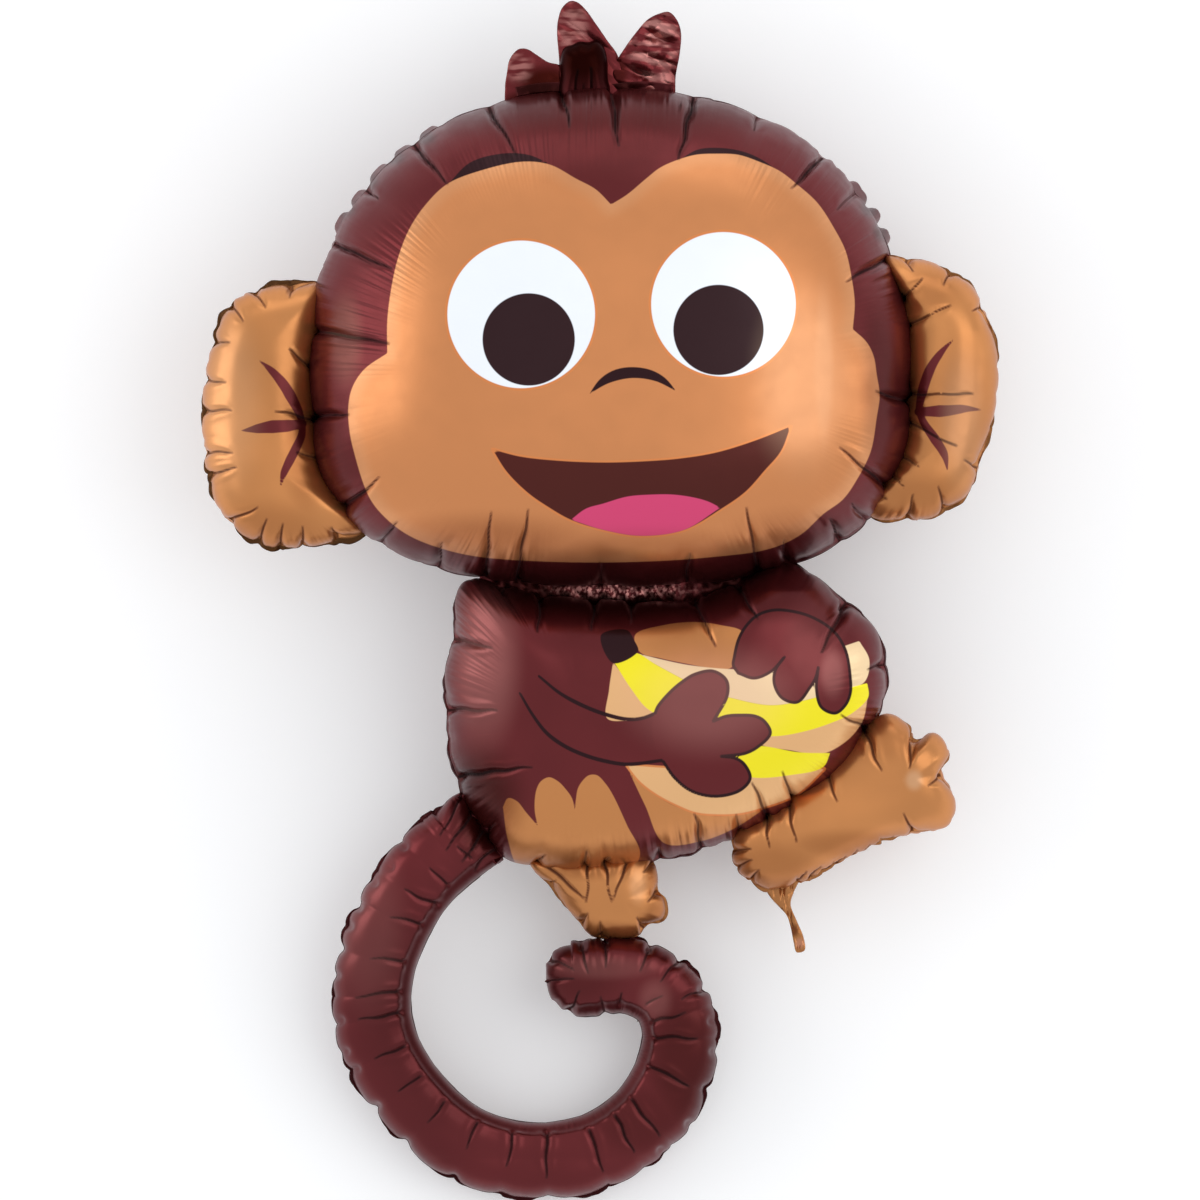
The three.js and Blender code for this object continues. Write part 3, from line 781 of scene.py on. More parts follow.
def add_tube(
    name, line, half_width, tip_width, thickness, creases, notches, around, rings, root_slope, seed,
):
    """A curled tube of two sheets of film, welded along both edges and blown up, with a round tip."""
    tube, ring, sector = add_ball(name, around, rings)
    dense = curve_through(line, closed=False)
    _, length = along(dense, closed=False)
    total = length[-1]
    even = np.linspace(0, 1, rings + 1)
    shares = TIP_CROWDING * (1 - np.cos(np.pi * even)) / 2 + (1 - TIP_CROWDING) * even
    places = shares * total
    centre = np.stack([np.interp(places, length, dense[:, axis]) for axis in (0, 1)], -1)
    way = np.gradient(centre, axis=0)
    way /= np.linalg.norm(way, axis=1, keepdims=True)
    across = np.stack([way[:, 1], -way[:, 0]], -1)
    width = half_width + (tip_width - half_width) * smoothstep(0.0, WIDTH_RUN_IN, shares)
    rounding = rounded(total - places, tip_width)
    flattening = rounded(places, root_slope)
    closing = np.sqrt(np.clip(places / ROOT_ROUNDING, 0, 1))
    quarter = around // 4
    slope, film = even_slopes(tip_width * PIXEL, thickness, np.linspace(0, 1, quarter + 1))
    out = np.sin(slope) ** FILM_POWER
    rise = np.cos(slope)
    # From the weld on the left, over the top to the right, and back under the tube.
    out = np.r_[out[::-1], -out[1:], -out[-2::-1], out[1:-1]]
    rise = np.r_[rise[::-1], rise[1:], -rise[-2::-1], -rise[1:-1]]
    film = np.r_[film[::-1], film[1:], film[-2::-1], film[1:-1]]
    side = centre[:, None] + across[:, None] * (out[:, None] * (width * rounding * closing)[:, None, None])
    grid = to_world(side[..., 0], side[..., 1], rise * thickness / 2 * (rounding * flattening)[:, None])
    normals = surface_normals(grid)
    if normals[rings // 2, quarter, 2] < 0:
        normals = -normals
    ends = np.array([fold[1] for fold in creases], float)
    _, fold_places, _ = nearest(ends, dense, closed=False)
    bulged, spans = lobes(places, fold_places * total, total)
    bulging = (bulged - TUBE_BULGE_LEVEL) * np.clip(spans * PIXEL, 0, WIDEST_TUBE_BULGE) * TUBE_BULGE
    outer_side = INNER_SIDE_BULGE + (1 - INNER_SIDE_BULGE) * np.clip(-out, 0, 1)[None, :]
    upper = (rise > UPPER_SIDE)[None, :]
    pressed, line = crease_fields(
        to_sheet(grid), creases, TUBE_CREASE_DEPTH, TUBE_CREASE_WIDTH, seed, before=2,
    )
    pressed = pressed * upper
    line = np.where(upper, line, -FAR)
    inner = np.linalg.norm(side - centre[:, None], axis=-1) * np.sign(out)[None, :]
    ridge = relief_band(inner, *RIDGE) - relief_band(inner, *VALLEY)
    lift = bulging[:, None] * outer_side + ridge * upper * rounding[:, None]
    lift = lift - pressed + undulation(grid, TUBE_SWELL, TUBE_SWELL_LENGTH, seed + 2)
    lift *= (smoothstep(0, POLE_ZONE, shares) * smoothstep(0, POLE_ZONE, 1 - shares))[:, None]
    grid = grid + normals * lift[..., None]
    drawn = draw_in(to_sheet(grid), centre[:, None], notches)
    grid[..., :2] = to_world(drawn[..., 0], drawn[..., 1], 0.0)[..., :2]
    points = grid[ring, sector]
    for pole, index in ((ring == 0, 0), (ring == rings, -1)):
        points[pole] = grid[index].mean(0)
    points[:, 2] = np.maximum(points[:, 2], 0.0)
    write_points(tube, points)
    write_field(tube, "fold", pressed[ring, sector])
    write_field(tube, "crease", line[ring, sector])
    write_film_map(tube, total * PIXEL, film[sector], along_axis=1)
    merge_doubles(tube, SEAM_GAP)
    welded = grid[BARE_ROOT_RINGS:-BARE_TIP_RINGS]
    return tube, welded[:, 2 * quarter], welded[:, 0]


def waves(at, pitch, seed, turn_length=None):
    """An uneven wave from -1 to 1 along a length, with sharp turns, of about that pitch."""
    random = np.random.default_rng(seed)
    total = turn_length or at[-1] + pitch
    count = max(4, int(total / pitch * 2))
    heights = random.uniform(0.3, 1.0, count) * np.where(np.arange(count) % 2, 1, -1)
    knots = (np.arange(count) + random.uniform(-0.25, 0.25, count)) * total / count
    return np.interp(at, knots, heights, period=total)


# Weld margins, in metres.
MARGIN_STEP = 0.0016
MARGIN_ROWS = 4
MARGIN_INSET = 0.0015
MARGIN_TAPER = 0.02


def add_ribbon(name, edge, width, wave, pitch, gauge, closed, fall, turned, seed):
    """A flat weld margin that leaves a welded edge, falls back by an angle and waves up and down."""
    path = np.vstack([edge, edge[:1]]) if closed else edge
    length = np.r_[0, np.cumsum(np.linalg.norm(np.diff(path, axis=0), axis=1))]
    total = length[-1]
    columns = int(total / MARGIN_STEP)
    at = np.linspace(0, total, columns + 1)
    rail = np.stack([np.interp(at, length, path[:, axis]) for axis in range(3)], -1)
    way = np.gradient(np.vstack([rail[-5:-1], rail, rail[1:5]]) if closed else rail, axis=0)
    if closed:
        way = sum(np.roll(way, shift, axis=0) for shift in (-3, -2, -1, 0, 1, 2, 3))[4:-4]
    outward = np.stack([way[:, 1], -way[:, 0]], -1)
    outward /= np.maximum(np.linalg.norm(outward, axis=1, keepdims=True), 1e-9)
    x, y, _ = edge.T
    if (np.sum(x * np.roll(y, -1) - np.roll(x, -1) * y) < 0) != turned:
        outward = -outward
    ribbon, column, row = add_grid(name, columns, MARGIN_ROWS)
    # The margin shows only in places: its reach swells and dies away along the weld.
    rise = waves(at, pitch, seed, total) * 0.7 + waves(at, pitch * 0.37, seed + 1, total) * 0.3
    reach = width * (0.9 + 0.22 * waves(at, pitch * 0.8, seed + 2, total))
    reach *= 0.12 + 0.88 * smoothstep(-0.1, 0.5, waves(at, 3.2 * pitch, seed + 3, total))
    if closed:
        rise[-1], reach[-1], outward[-1] = rise[0], reach[0], outward[0]
    else:
        reach *= smoothstep(0, MARGIN_TAPER, at) * smoothstep(0, MARGIN_TAPER, total - at)
    out = -MARGIN_INSET + row * (reach[column] + MARGIN_INSET)
    lean = math.radians(fall) * smoothstep(0.0, 0.6, row)
    placed = rail[column].copy()
    placed[:, :2] += outward[column] * (out * np.cos(lean))[:, None]
    placed[:, 2] += wave * rise[column] * row ** 1.2 - np.maximum(out, 0) * np.sin(lean)
    placed[:, 2] = np.maximum(placed[:, 2], gauge)
    write_points(ribbon, placed)
    finish_film(ribbon, gauge, merge=closed)
    return ribbon


def finish_film(piece, gauge, merge):
    """Give flat film its gauge, after its doubles are merged where it closes on itself."""
    select_only(piece)
    if merge:
        merge_doubles(piece, 10 * SEAM_GAP)
    wall = piece.modifiers.new("gauge", "SOLIDIFY")
    wall.thickness = gauge
    wall.offset = 0
    bpy.ops.object.modifier_apply(modifier=wall.name)


# Strips of welded film. A strip's step is in pixels of the sheet, its facets are in metres.
STRIP_STEP = 2
FEWEST_STRIP_ROWS = 8
STRIP_FACET = 0.014


def add_strip(name, line, width, rise, crumpling, gauge, seed):
    """A crumpled strip of welded film along a line of the sheet."""
    dense = curve_through(line, closed=False)
    _, length = along(dense, closed=False)
    columns = int(length[-1] / STRIP_STEP)
    rail = evenly(dense, columns + 1, closed=False)
    way = np.gradient(rail, axis=0)
    way /= np.linalg.norm(way, axis=1, keepdims=True)
    across = np.stack([-way[:, 1], way[:, 0]], -1)
    strip, column, row = add_grid(name, columns, max(FEWEST_STRIP_ROWS, int(width / STRIP_STEP)))
    place = rail[column] + across[column] * ((row - 0.5) * width)[:, None]
    placed = to_world(place[:, 0], place[:, 1], rise)
    placed[:, 2] += crumple(placed, crumpling, STRIP_FACET, seed)
    write_points(strip, placed)
    finish_film(strip, gauge, merge=False)
    return strip


FLAP_SECTORS = 220
FLAP_RINGS = 22


def add_flap(name, outline, spine, thickness, crumpling, facet, tilt, squeeze, seed):
    """A flap of film with hardly any air in it, crumpled on both faces alike."""
    flap, ring, sector = add_ball(name, FLAP_SECTORS, 2 * FLAP_RINGS)
    edge = counterclockwise(evenly(outline, FLAP_SECTORS, closed=True))
    roots, spine_roots = roots_on_spine(edge, spine)
    steps = np.linspace(0, 1, FLAP_RINGS + 1)[:, None, None]
    places = roots + (edge - roots) * steps
    places[0] = spine_roots
    half = thickness / 2 * np.sqrt(np.clip(1 - steps[..., 0] ** 2, 0, 1))
    grids = {}
    for side in (1, -1):
        grid = to_world(places[..., 0], places[..., 1], side * half)
        grid[..., 2] += crumple(grid, crumpling, facet, seed, squeeze)
        grid[..., 2] += (places[..., 1] - spine[0][1]) * PIXEL * tilt
        grids[side] = grid
    points = fold_out(grids, ring, sector, FLAP_RINGS)
    points[:, 2] = np.maximum(points[:, 2], 0.0)
    write_points(flap, points)
    merge_doubles(flap, SEAM_GAP)
    return flap


# The print, as regions and strokes of the sheet

FACE = cornered(
    [(611, 206), (596, 191), (576, 180), (550, 166), (523, 163), (484, 171), (448, 185), (426, 206),
     (410, 230), (399, 258), (392, 289), (388, 322), (388, 354)],
    [(388, 354), (365, 370), (353, 388), (349, 407), (350, 430), (354, 450), (370, 498), (388, 520),
     (410, 536), (443, 549), (480, 557), (555, 562), (635, 562), (703, 558), (769, 549), (800, 535),
     (823, 514), (842, 500), (855, 482), (870, 452), (876, 418), (879, 396), (876, 375), (873, 357),
     (866, 343), (852, 330)],
    [(852, 330), (854, 304), (851, 279), (845, 252), (834, 230), (817, 204), (796, 185), (779, 172),
     (759, 163), (738, 156), (716, 155), (696, 156), (678, 161), (660, 169), (646, 180), (627, 196),
     (611, 206)],
)
LEFT_BROW = cornered([(448, 186), (470, 164), (501, 155), (528, 156), (552, 166)],
                     [(552, 166), (523, 164), (484, 172), (448, 186)])
RIGHT_BROW = cornered([(678, 162), (697, 151), (716, 149), (740, 152), (760, 160), (797, 187)],
                      [(797, 187), (779, 173), (759, 164), (738, 157), (716, 156), (678, 162)])
LEFT_EYE = egg(521.5, 315.5, 73.5, 73.5, 73.5, 73.5)
RIGHT_EYE = egg(723, 305.5, 72, 72, 72, 72)
LEFT_PUPIL = egg(529, 340.5, 46, 46, 46, 46)
RIGHT_PUPIL = egg(718, 331, 45, 45, 45, 45)
NOSE = cornered([(589, 395), (600, 380), (614, 371), (632, 368), (651, 371), (665, 379), (676, 392)],
                [(676, 392), (655, 382), (632, 379), (609, 384), (589, 395)])
MOUTH = cornered([(493, 450), (520, 457), (555, 461), (600, 463), (641, 462), (680, 459), (716, 453),
                  (755, 441), (790, 427)],
                 [(790, 427), (780, 452), (764, 471), (745, 492), (721, 509), (684, 530), (641, 536),
                  (603, 530), (571, 520), (548, 507), (528, 493), (507, 472), (493, 450)])
TONGUE = cornered([(571, 520), (586, 509), (603, 504), (627, 497), (651, 495), (673, 495), (694, 498),
                   (708, 502), (720, 508)],
                  [(720, 508), (684, 530), (641, 536), (603, 530), (571, 520)])

BELLY = curve_through([(635, 635), (664, 625), (695, 622), (720, 625), (742, 632), (738, 652), (730, 668),
                       (710, 668), (689, 664), (660, 658), (640, 652)], closed=True)
STEM = curve_through([(601, 635), (627, 630), (634, 640), (638, 651), (613, 663)], closed=True)
BANANA = cornered(
    [(614, 662), (625, 657), (636, 653), (655, 664), (677, 676), (704, 690), (732, 698), (770, 705),
     (805, 700), (840, 690), (867, 683)],
    [(867, 683), (868, 697), (852, 713), (833, 722), (805, 731), (775, 736), (740, 733), (710, 728),
     (678, 722), (648, 709), (632, 690), (614, 662)],
)
PEEL_TOP = cornered([(636, 653), (660, 659), (689, 665), (730, 669), (765, 669), (800, 662), (847, 645),
                     (859, 641)],
                    [(859, 641), (869, 660), (864, 682), (840, 690), (805, 700), (770, 705), (732, 698),
                     (704, 690), (677, 676), (655, 664), (636, 653)])
PEEL_LEFT = cornered([(613, 662), (609, 690), (607, 718), (630, 720), (658, 714)],
                     [(658, 714), (640, 700), (628, 682), (613, 662)])
PEEL_LOW = cornered([(748, 736), (775, 728), (800, 724), (835, 714), (855, 704), (868, 694)],
                    [(868, 694), (862, 722), (845, 742), (820, 754), (790, 750), (762, 745), (748, 736)])
YELLOW_LOW = cornered([(712, 752), (730, 745), (764, 746), (798, 752), (830, 753)],
                      [(830, 753), (823, 767), (790, 775), (751, 777), (730, 768), (712, 752)])
CRESCENT = cornered([(627, 765), (680, 768), (733, 764), (765, 769), (824, 769)],
                    [(824, 769), (797, 794), (764, 807), (740, 813), (716, 814), (696, 812), (678, 805),
                     (657, 794), (640, 781), (627, 765)])
LOW_BELLY = cornered([(627, 767), (640, 783), (657, 796), (678, 807), (716, 816), (764, 809)],
                     [(764, 809), (735, 828), (702, 841), (664, 843), (645, 805), (627, 767)])
LEFT_HAND = cornered(
    [(664, 762), (655, 745), (652, 725), (658, 706), (671, 691), (683, 681), (695, 674), (713, 671),
     (726, 680), (727, 695), (713, 721)],
    [(713, 721), (726, 716), (740, 715), (755, 716), (764, 721), (770, 733), (757, 747), (745, 753),
     (733, 755), (721, 756)],
    [(721, 756), (735, 758), (744, 764), (750, 778), (740, 790), (716, 796), (692, 791), (675, 778),
     (664, 762)],
)
RIGHT_HAND = cornered(
    [(738, 673), (733, 665), (734, 657), (738, 640), (745, 627), (756, 616), (768, 611), (782, 610),
     (809, 616), (833, 631), (845, 650), (850, 678), (850, 693), (845, 705), (835, 713), (821, 707),
     (816, 688), (818, 667)],
    [(818, 667), (815, 678), (809, 688), (797, 702), (782, 698), (774, 684), (775, 670), (784, 657)],
    [(784, 657), (771, 671), (754, 678), (738, 673)],
)
FUR = cornered(
    [(503, 807), (508, 798), (517, 801), (526, 812), (538, 826)],
    [(538, 826), (535, 812), (535, 798), (537, 788), (541, 781), (549, 777), (558, 781), (565, 788),
     (572, 798), (575, 810)],
    [(575, 810), (576, 799), (578, 788), (583, 780), (589, 775), (597, 775), (606, 784), (613, 795),
     (627, 825), (640, 855), (620, 880), (560, 884), (520, 870), (508, 840), (503, 807)],
)
ARM_WIDTHS = (2.4, 4.0, 4.0, 3.4)
HAND_WIDTHS = (3.2, 3.2)
RIGHT_HAND_LINE = 3.0
ARM_STROKES = [
    ([(539, 676), (560, 693), (582, 705), (605, 714), (627, 719), (642, 718), (658, 712)], ARM_WIDTHS),
    ([(520, 693), (533, 715), (547, 733), (565, 746), (585, 755), (606, 761), (627, 764), (664, 760)],
     ARM_WIDTHS),
]
LEFT_HAND_STROKES = [
    ([(655, 713), (658, 706), (671, 691), (683, 681), (695, 674), (713, 671), (726, 680), (727, 695),
      (713, 721)], HAND_WIDTHS),
    ([(713, 721), (726, 716), (740, 715), (755, 716), (764, 721), (770, 733), (757, 747), (745, 753),
      (733, 755), (721, 756)], HAND_WIDTHS),
    ([(721, 756), (735, 758), (744, 764), (750, 778), (740, 790), (716, 796), (692, 791), (675, 778),
      (663, 761)], HAND_WIDTHS),
]
LEFT_EAR_STROKES = [
    ([(260, 361), (272, 371), (284, 385), (293, 400), (299, 412), (303, 424)], (1, 7, 10, 11, 9, 6)),
    ([(242, 431), (257, 429), (272, 427), (288, 426), (303, 424)], (1, 9, 13, 12, 8)),
    ([(281, 486), (284, 474), (290, 461), (297, 447), (302, 435), (303, 424)], (1, 7, 9, 9, 8, 6)),
]
RIGHT_EAR_STROKES = [
    ([(953, 340), (943, 350), (931, 367), (923, 388), (918, 411)], (1, 7, 10, 10, 6)),
    ([(981, 410), (965, 409), (945, 411), (918, 412)], (1, 9, 12, 8)),
    ([(947, 470), (944, 455), (935, 440), (924, 424), (918, 411)], (1, 8, 10, 8, 6)),
]


def write_region(piece, front, name, outline):
    """The depth of each front vertex inside a printed outline, in pixels of the sheet."""
    field = region(to_sheet(read_points(piece)), outline)
    write_field(piece, name, np.where(front, field, -FAR))


def write_strokes(piece, front, name, strokes):
    """The depth of each front vertex inside a group of printed strokes."""
    places = to_sheet(read_points(piece))
    field = np.max([stroke(places, line, widths) for line, widths in strokes], axis=0)
    write_field(piece, name, np.where(front, field, -FAR))


# Materials


def add_node(tree, kind, inputs=None, **settings):
    made = tree.nodes.new(kind)
    for key, value in settings.items():
        setattr(made, key, value)
    for key, value in (inputs or {}).items():
        if isinstance(value, bpy.types.NodeSocket):
            tree.links.new(value, made.inputs[key])
        else:
            made.inputs[key].default_value = value
    return made


def mix_colour(tree, factor, first, second, blend="MIX"):
    inputs = {0: factor, 6: first, 7: second}
    return add_node(tree, "ShaderNodeMix", inputs, data_type="RGBA", blend_type=blend).outputs[2]


def mix_number(tree, factor, first, second):
    return add_node(tree, "ShaderNodeMix", {0: factor, 2: first, 3: second}, data_type="FLOAT").outputs[0]


def math_node(tree, operation, *values):
    return add_node(tree, "ShaderNodeMath", dict(enumerate(values)), operation=operation).outputs[0]


def ranged(tree, value, low, high, to_low=0.0, to_high=1.0, soft=False):
    made = add_node(
        tree, "ShaderNodeMapRange",
        {"Value": value, "From Min": low, "From Max": high, "To Min": to_low, "To Max": to_high},
        interpolation_type="SMOOTHSTEP" if soft else "LINEAR",
    )
    return made.outputs["Result"]


def field_node(tree, name):
    return add_node(tree, "ShaderNodeAttribute", attribute_name=name).outputs["Fac"]


def noise(tree, place, scale, detail):
    inputs = {"Vector": place, "Scale": scale, "Detail": detail}
    return add_node(tree, "ShaderNodeTexNoise", inputs).outputs["Fac"]


def scaled(tree, place, scale):
    return add_node(tree, "ShaderNodeMapping", {"Vector": place, "Scale": scale}).outputs[0]


# Print, painted shade and painted highlights on the film. The edges of ink and creases are in pixels of the
# sheet.
INK_EDGE = 0.45
CREASE_EDGE = (-0.6, 0.5)
FILM_TONES = (0.86, 1.12)
# Painted shade in creases: how deep a groove is before its colour darkens, that shade, and the dark line
# along a crease.
GROOVE_DEPTHS = (0.0002, 0.0032)
GROOVE_SHADE = (0.03, 0.012, 0.012, 1)
GROOVE_STRENGTH = 0.3
CREASE_SHADE = (0.22, 0.15, 0.15, 1)
CREASE_STRENGTH = 0.95
CREASE_ROUGHNESS = 1.0
CREASE_DULLING = 0.9
EDGE_TINT = (0.8, 0.73, 0.75, 1)
# Painted shade multiplies the colour by the shadow tint; painted highlights mix it towards a rosy or a warm
# sheen.
SHADOW_TINT = (0.3, 0.15, 0.05, 1)
ROSY_SHEEN = (1.0, 0.46, 0.4, 1)
WARM_SHEEN = (1.0, 0.72, 0.46, 1)
COAT = 0.12
COAT_ROUGHNESS = 0.22
ROUGHNESS_SPREAD = (-0.05, 0.07)
SPECULAR = 0.3
# Noise of the sheet, per metre: slow clouds, fine grain, pleats along the weld, and facets.
CLOUD_SCALE = 9.0
GRAIN_SCALE = 60.0
GRAIN_HEIGHT = 0.001
GRAIN_STRENGTH = 0.12
NOISE_RANGE = (0.3, 0.7)
GLINT_RANGE = (0.44, 0.58)
PLEAT_SCALE = (260.0, 8.0, 1.0)
PLEAT_HEIGHT = 0.004
PLEATS_FADE_FROM = 0.35
PLEAT_PATCHES = (0.4, 0.62, 0.08, 1.0)
FACET_SCALE = 110.0
FACET_HEIGHT = 0.003


def print_layers(tree, colour, layers, metal):
    """Each ink over those before it: the colour, and the metal share, which is a number if it is even."""
    shine = metal
    for layer in layers:
        depth = field_node(tree, layer["field"])
        if "line" in layer:
            depth = math_node(tree, "SUBTRACT", layer["line"] / 2, math_node(tree, "ABSOLUTE", depth))
        if "grow" in layer:
            depth = math_node(tree, "ADD", depth, layer["grow"])
        ink_and_crease_shade = ranged(tree, depth, -INK_EDGE, INK_EDGE)
        ink = layer["colour"]
        if "fade" in layer:
            deep = ranged(tree, depth, 0.0, layer["fade_over"], soft=True)
            ink = mix_colour(tree, deep, layer["fade"], layer["colour"])
        colour = mix_colour(tree, ink_and_crease_shade, colour, ink)
        layer_metal = layer.get("metal", metal)
        if layer_metal != shine:
            shine = mix_number(tree, ink_and_crease_shade, shine, layer_metal)
    return colour, shine


def pleat_bump(tree, clouds, pleats, reach):
    """Hair-fine pleats that run from the weld into the film and show in patches."""
    along_weld = add_node(tree, "ShaderNodeUVMap", uv_map="film").outputs["UV"]
    from_weld = add_node(tree, "ShaderNodeSeparateXYZ", {"Vector": along_weld}).outputs["Y"]
    pleat = noise(tree, scaled(tree, along_weld, PLEAT_SCALE), 1.0, 0.4)
    near_weld = ranged(tree, from_weld, reach * PLEATS_FADE_FROM, reach, 1.0, 0.0, soft=True)
    patches = ranged(tree, clouds, *PLEAT_PATCHES, soft=True)
    height = math_node(tree, "MULTIPLY", pleat, math_node(tree, "MULTIPLY", near_weld, patches))
    inputs = {"Height": height, "Strength": pleats, "Distance": PLEAT_HEIGHT}
    return add_node(tree, "ShaderNodeBump", inputs).outputs[0]


def facet_bump(tree, place, facets):
    """The small flat facets of creased film."""
    cells = add_node(tree, "ShaderNodeTexVoronoi", {"Vector": place, "Scale": FACET_SCALE})
    inputs = {"Height": cells.outputs["Distance"], "Strength": facets, "Distance": FACET_HEIGHT}
    return add_node(tree, "ShaderNodeBump", inputs).outputs[0]


def film_material(
    name, base, layers=(), metal=0.8, roughness=0.33, pleats=0.0, pleat_reach=0.06, facets=0.0,
    folds=True, painted_glint_scale=None, gloss=1.0, sheen_tint=ROSY_SHEEN,
):
    """Printed metallised film: ink colours, painted shade and painted highlights, pleats near the weld and
    the slight crinkle of the sheet.
    """
    material = bpy.data.materials.new(name)
    material.use_nodes = True
    tree = material.node_tree
    tree.nodes.clear()
    place = add_node(tree, "ShaderNodeTexCoord").outputs["Object"]
    clouds = noise(tree, place, CLOUD_SCALE, 2.0)
    grain = noise(tree, place, GRAIN_SCALE, 3.0)
    darker, lighter = (shade(base, tone) for tone in FILM_TONES)
    colour = mix_colour(tree, ranged(tree, clouds, *NOISE_RANGE), darker, lighter)
    colour, metallic = print_layers(tree, colour, layers, metal)
    smoother, rougher = (roughness + spread for spread in ROUGHNESS_SPREAD)
    roughness = ranged(tree, grain, *NOISE_RANGE, smoother, rougher)
    coat = COAT * gloss
    if folds:
        # Painted shade in creases: grooves darken with their depth, and the dark line along each crease's
        # bottom darkens the colour and dulls its metal and coat.
        groove = ranged(tree, field_node(tree, "fold"), *GROOVE_DEPTHS, soft=True)
        hollow = math_node(tree, "MULTIPLY", groove, GROOVE_STRENGTH)
        colour = mix_colour(tree, hollow, colour, GROOVE_SHADE)
        ink_and_crease_shade = ranged(tree, field_node(tree, "crease"), *CREASE_EDGE)
        line = math_node(tree, "MULTIPLY", ink_and_crease_shade, CREASE_STRENGTH)
        colour = mix_colour(tree, line, colour, CREASE_SHADE, blend="MULTIPLY")
        # The bottom of a crease mirrors only the film beside it, so it is dull.
        bare = math_node(tree, "SUBTRACT", 1.0, math_node(tree, "MULTIPLY", line, CREASE_DULLING))
        roughness = mix_number(tree, line, roughness, CREASE_ROUGHNESS)
        metallic = math_node(tree, "MULTIPLY", metallic, bare)
        coat = math_node(tree, "MULTIPLY", coat, bare)
    # Painted shade: the colour is darkened where the shadow field marks shade.
    colour = mix_colour(tree, field_node(tree, "shadow"), colour, SHADOW_TINT, blend="MULTIPLY")
    # Painted highlights: the colour is lightened towards the sheen tint, broken into painted glints by
    # streaky noise where a glint scale is given.
    sheen = field_node(tree, "sheen")
    if painted_glint_scale:
        streaks = noise(tree, scaled(tree, place, painted_glint_scale), 1.0, 1.5)
        glints = ranged(tree, streaks, *GLINT_RANGE, soft=True)
        sheen = math_node(tree, "MULTIPLY", sheen, glints)
    colour = mix_colour(tree, sheen, colour, sheen_tint)
    relief = {"Height": grain, "Strength": GRAIN_STRENGTH, "Distance": GRAIN_HEIGHT}
    if pleats:
        relief["Normal"] = pleat_bump(tree, clouds, pleats, pleat_reach)
    if facets:
        relief["Normal"] = facet_bump(tree, place, facets)
    shader = add_node(tree, "ShaderNodeBsdfPrincipled", {
        "Base Color": colour, "Metallic": metallic, "Roughness": roughness,
        "Specular IOR Level": SPECULAR * gloss, "Specular Tint": EDGE_TINT,
        "Coat Weight": coat, "Coat Roughness": COAT_ROUGHNESS,
        "Normal": add_node(tree, "ShaderNodeBump", relief).outputs[0],
    })
    add_node(tree, "ShaderNodeOutputMaterial", {"Surface": shader.outputs[0]})
    return material


def shade(colour, factor):
    return tuple(min(1.0, part * factor) for part in colour[:3]) + (1.0,)


def linear(code):
    """A colour code of the screen as the renderer's light values."""
    parts = [int(code[index:index + 2], 16) / 255 for index in (0, 2, 4)]
    light = [part / 12.92 if part <= 0.04045 else ((part + 0.055) / 1.055) ** 2.4 for part in parts]
    return tuple(light) + (1.0,)


def size_property(name, description, default):
    return bpy.props.FloatProperty(name=name, description=description, default=default, min=0, unit="LENGTH",
                                   subtype="DISTANCE", precision=4)


def colour_property(name, description, code):
    return bpy.props.FloatVectorProperty(name=name, description=description, default=linear(code), size=4,
                                         min=0, max=1, subtype="COLOR")


class BalloonSizes(bpy.types.PropertyGroup):
    head: size_property("Head", "Thickness of the blown-up head", 0.244)
    body: size_property("Body", "Thickness of the blown-up body", 0.156)
    ear: size_property("Ear", "Thickness of a blown-up ear", 0.076)
    leg: size_property("Leg", "Thickness of the blown-up right leg", 0.072)
    foot: size_property("Foot", "Thickness of the blown-up left foot", 0.054)
    tail: size_property("Tail", "Thickness of the blown-up tail", 0.058)
    tuft_root: size_property("Tuft root", "Thickness of the air pocket under the tuft", 0.03)
    gauge: size_property("Weld gauge", "Thickness of the two welded films with their print", 0.0005)
    margin: size_property("Weld margin", "Width of the flat margin outside the weld", 0.0055)
    flutter: size_property("Flutter", "How far the weld margin waves up and down", 0.0035)


class BalloonColours(bpy.types.PropertyGroup):
    maroon: colour_property("Maroon", "Fur of the head, body and tail", "692729")
    tan: colour_property("Tan", "Ears, leg and foot", "CC8850")
    face: colour_property("Face", "Face patch", "D28955")
    face_light: colour_property("Face edge", "Lighter edge of the face patch", "D69463")
    white: colour_property("Eye white", "White of the eyes", "F4F8FC")
    dark: colour_property("Dark", "Pupils, nose and outlines", "2E1518")
    mouth: colour_property("Mouth", "Inside of the mouth", "54231D")
    tongue: colour_property("Tongue", "Tongue", "D84673")
    orange: colour_property("Orange", "Thin rims of the eyes and the mouth", "E08A50")
    yellow: colour_property("Yellow", "Banana", "F7E81E")
    peach: colour_property("Peach", "Banana peel", "E8B47C")
    cream: colour_property("Cream", "Light side of the banana", "F2D3A4")
    floor: colour_property("Floor", "Studio floor", "F2F2F0")


class BalloonOperator:
    bl_options = {"REGISTER", "UNDO"}

    @property
    def sizes(self):
        return bpy.context.scene.balloon_sizes

    def colour(self, name):
        return tuple(getattr(bpy.context.scene.balloon_colours, name))

    def add_margin(
        self, name, film, edge, colour, width, wave, pitch, fall, seed, closed=True, turned=False,
    ):
        """The margin outside an edge. Its width and its wave are shares of the sizes in the panel."""
        sizes = self.sizes
        margin = add_ribbon(
            name, edge, sizes.margin * width, sizes.flutter * wave, pitch, sizes.gauge, closed, fall,
            turned, seed,
        )
        finish_piece(margin, film_material(film, colour, facets=0.5, folds=False, gloss=0.3))


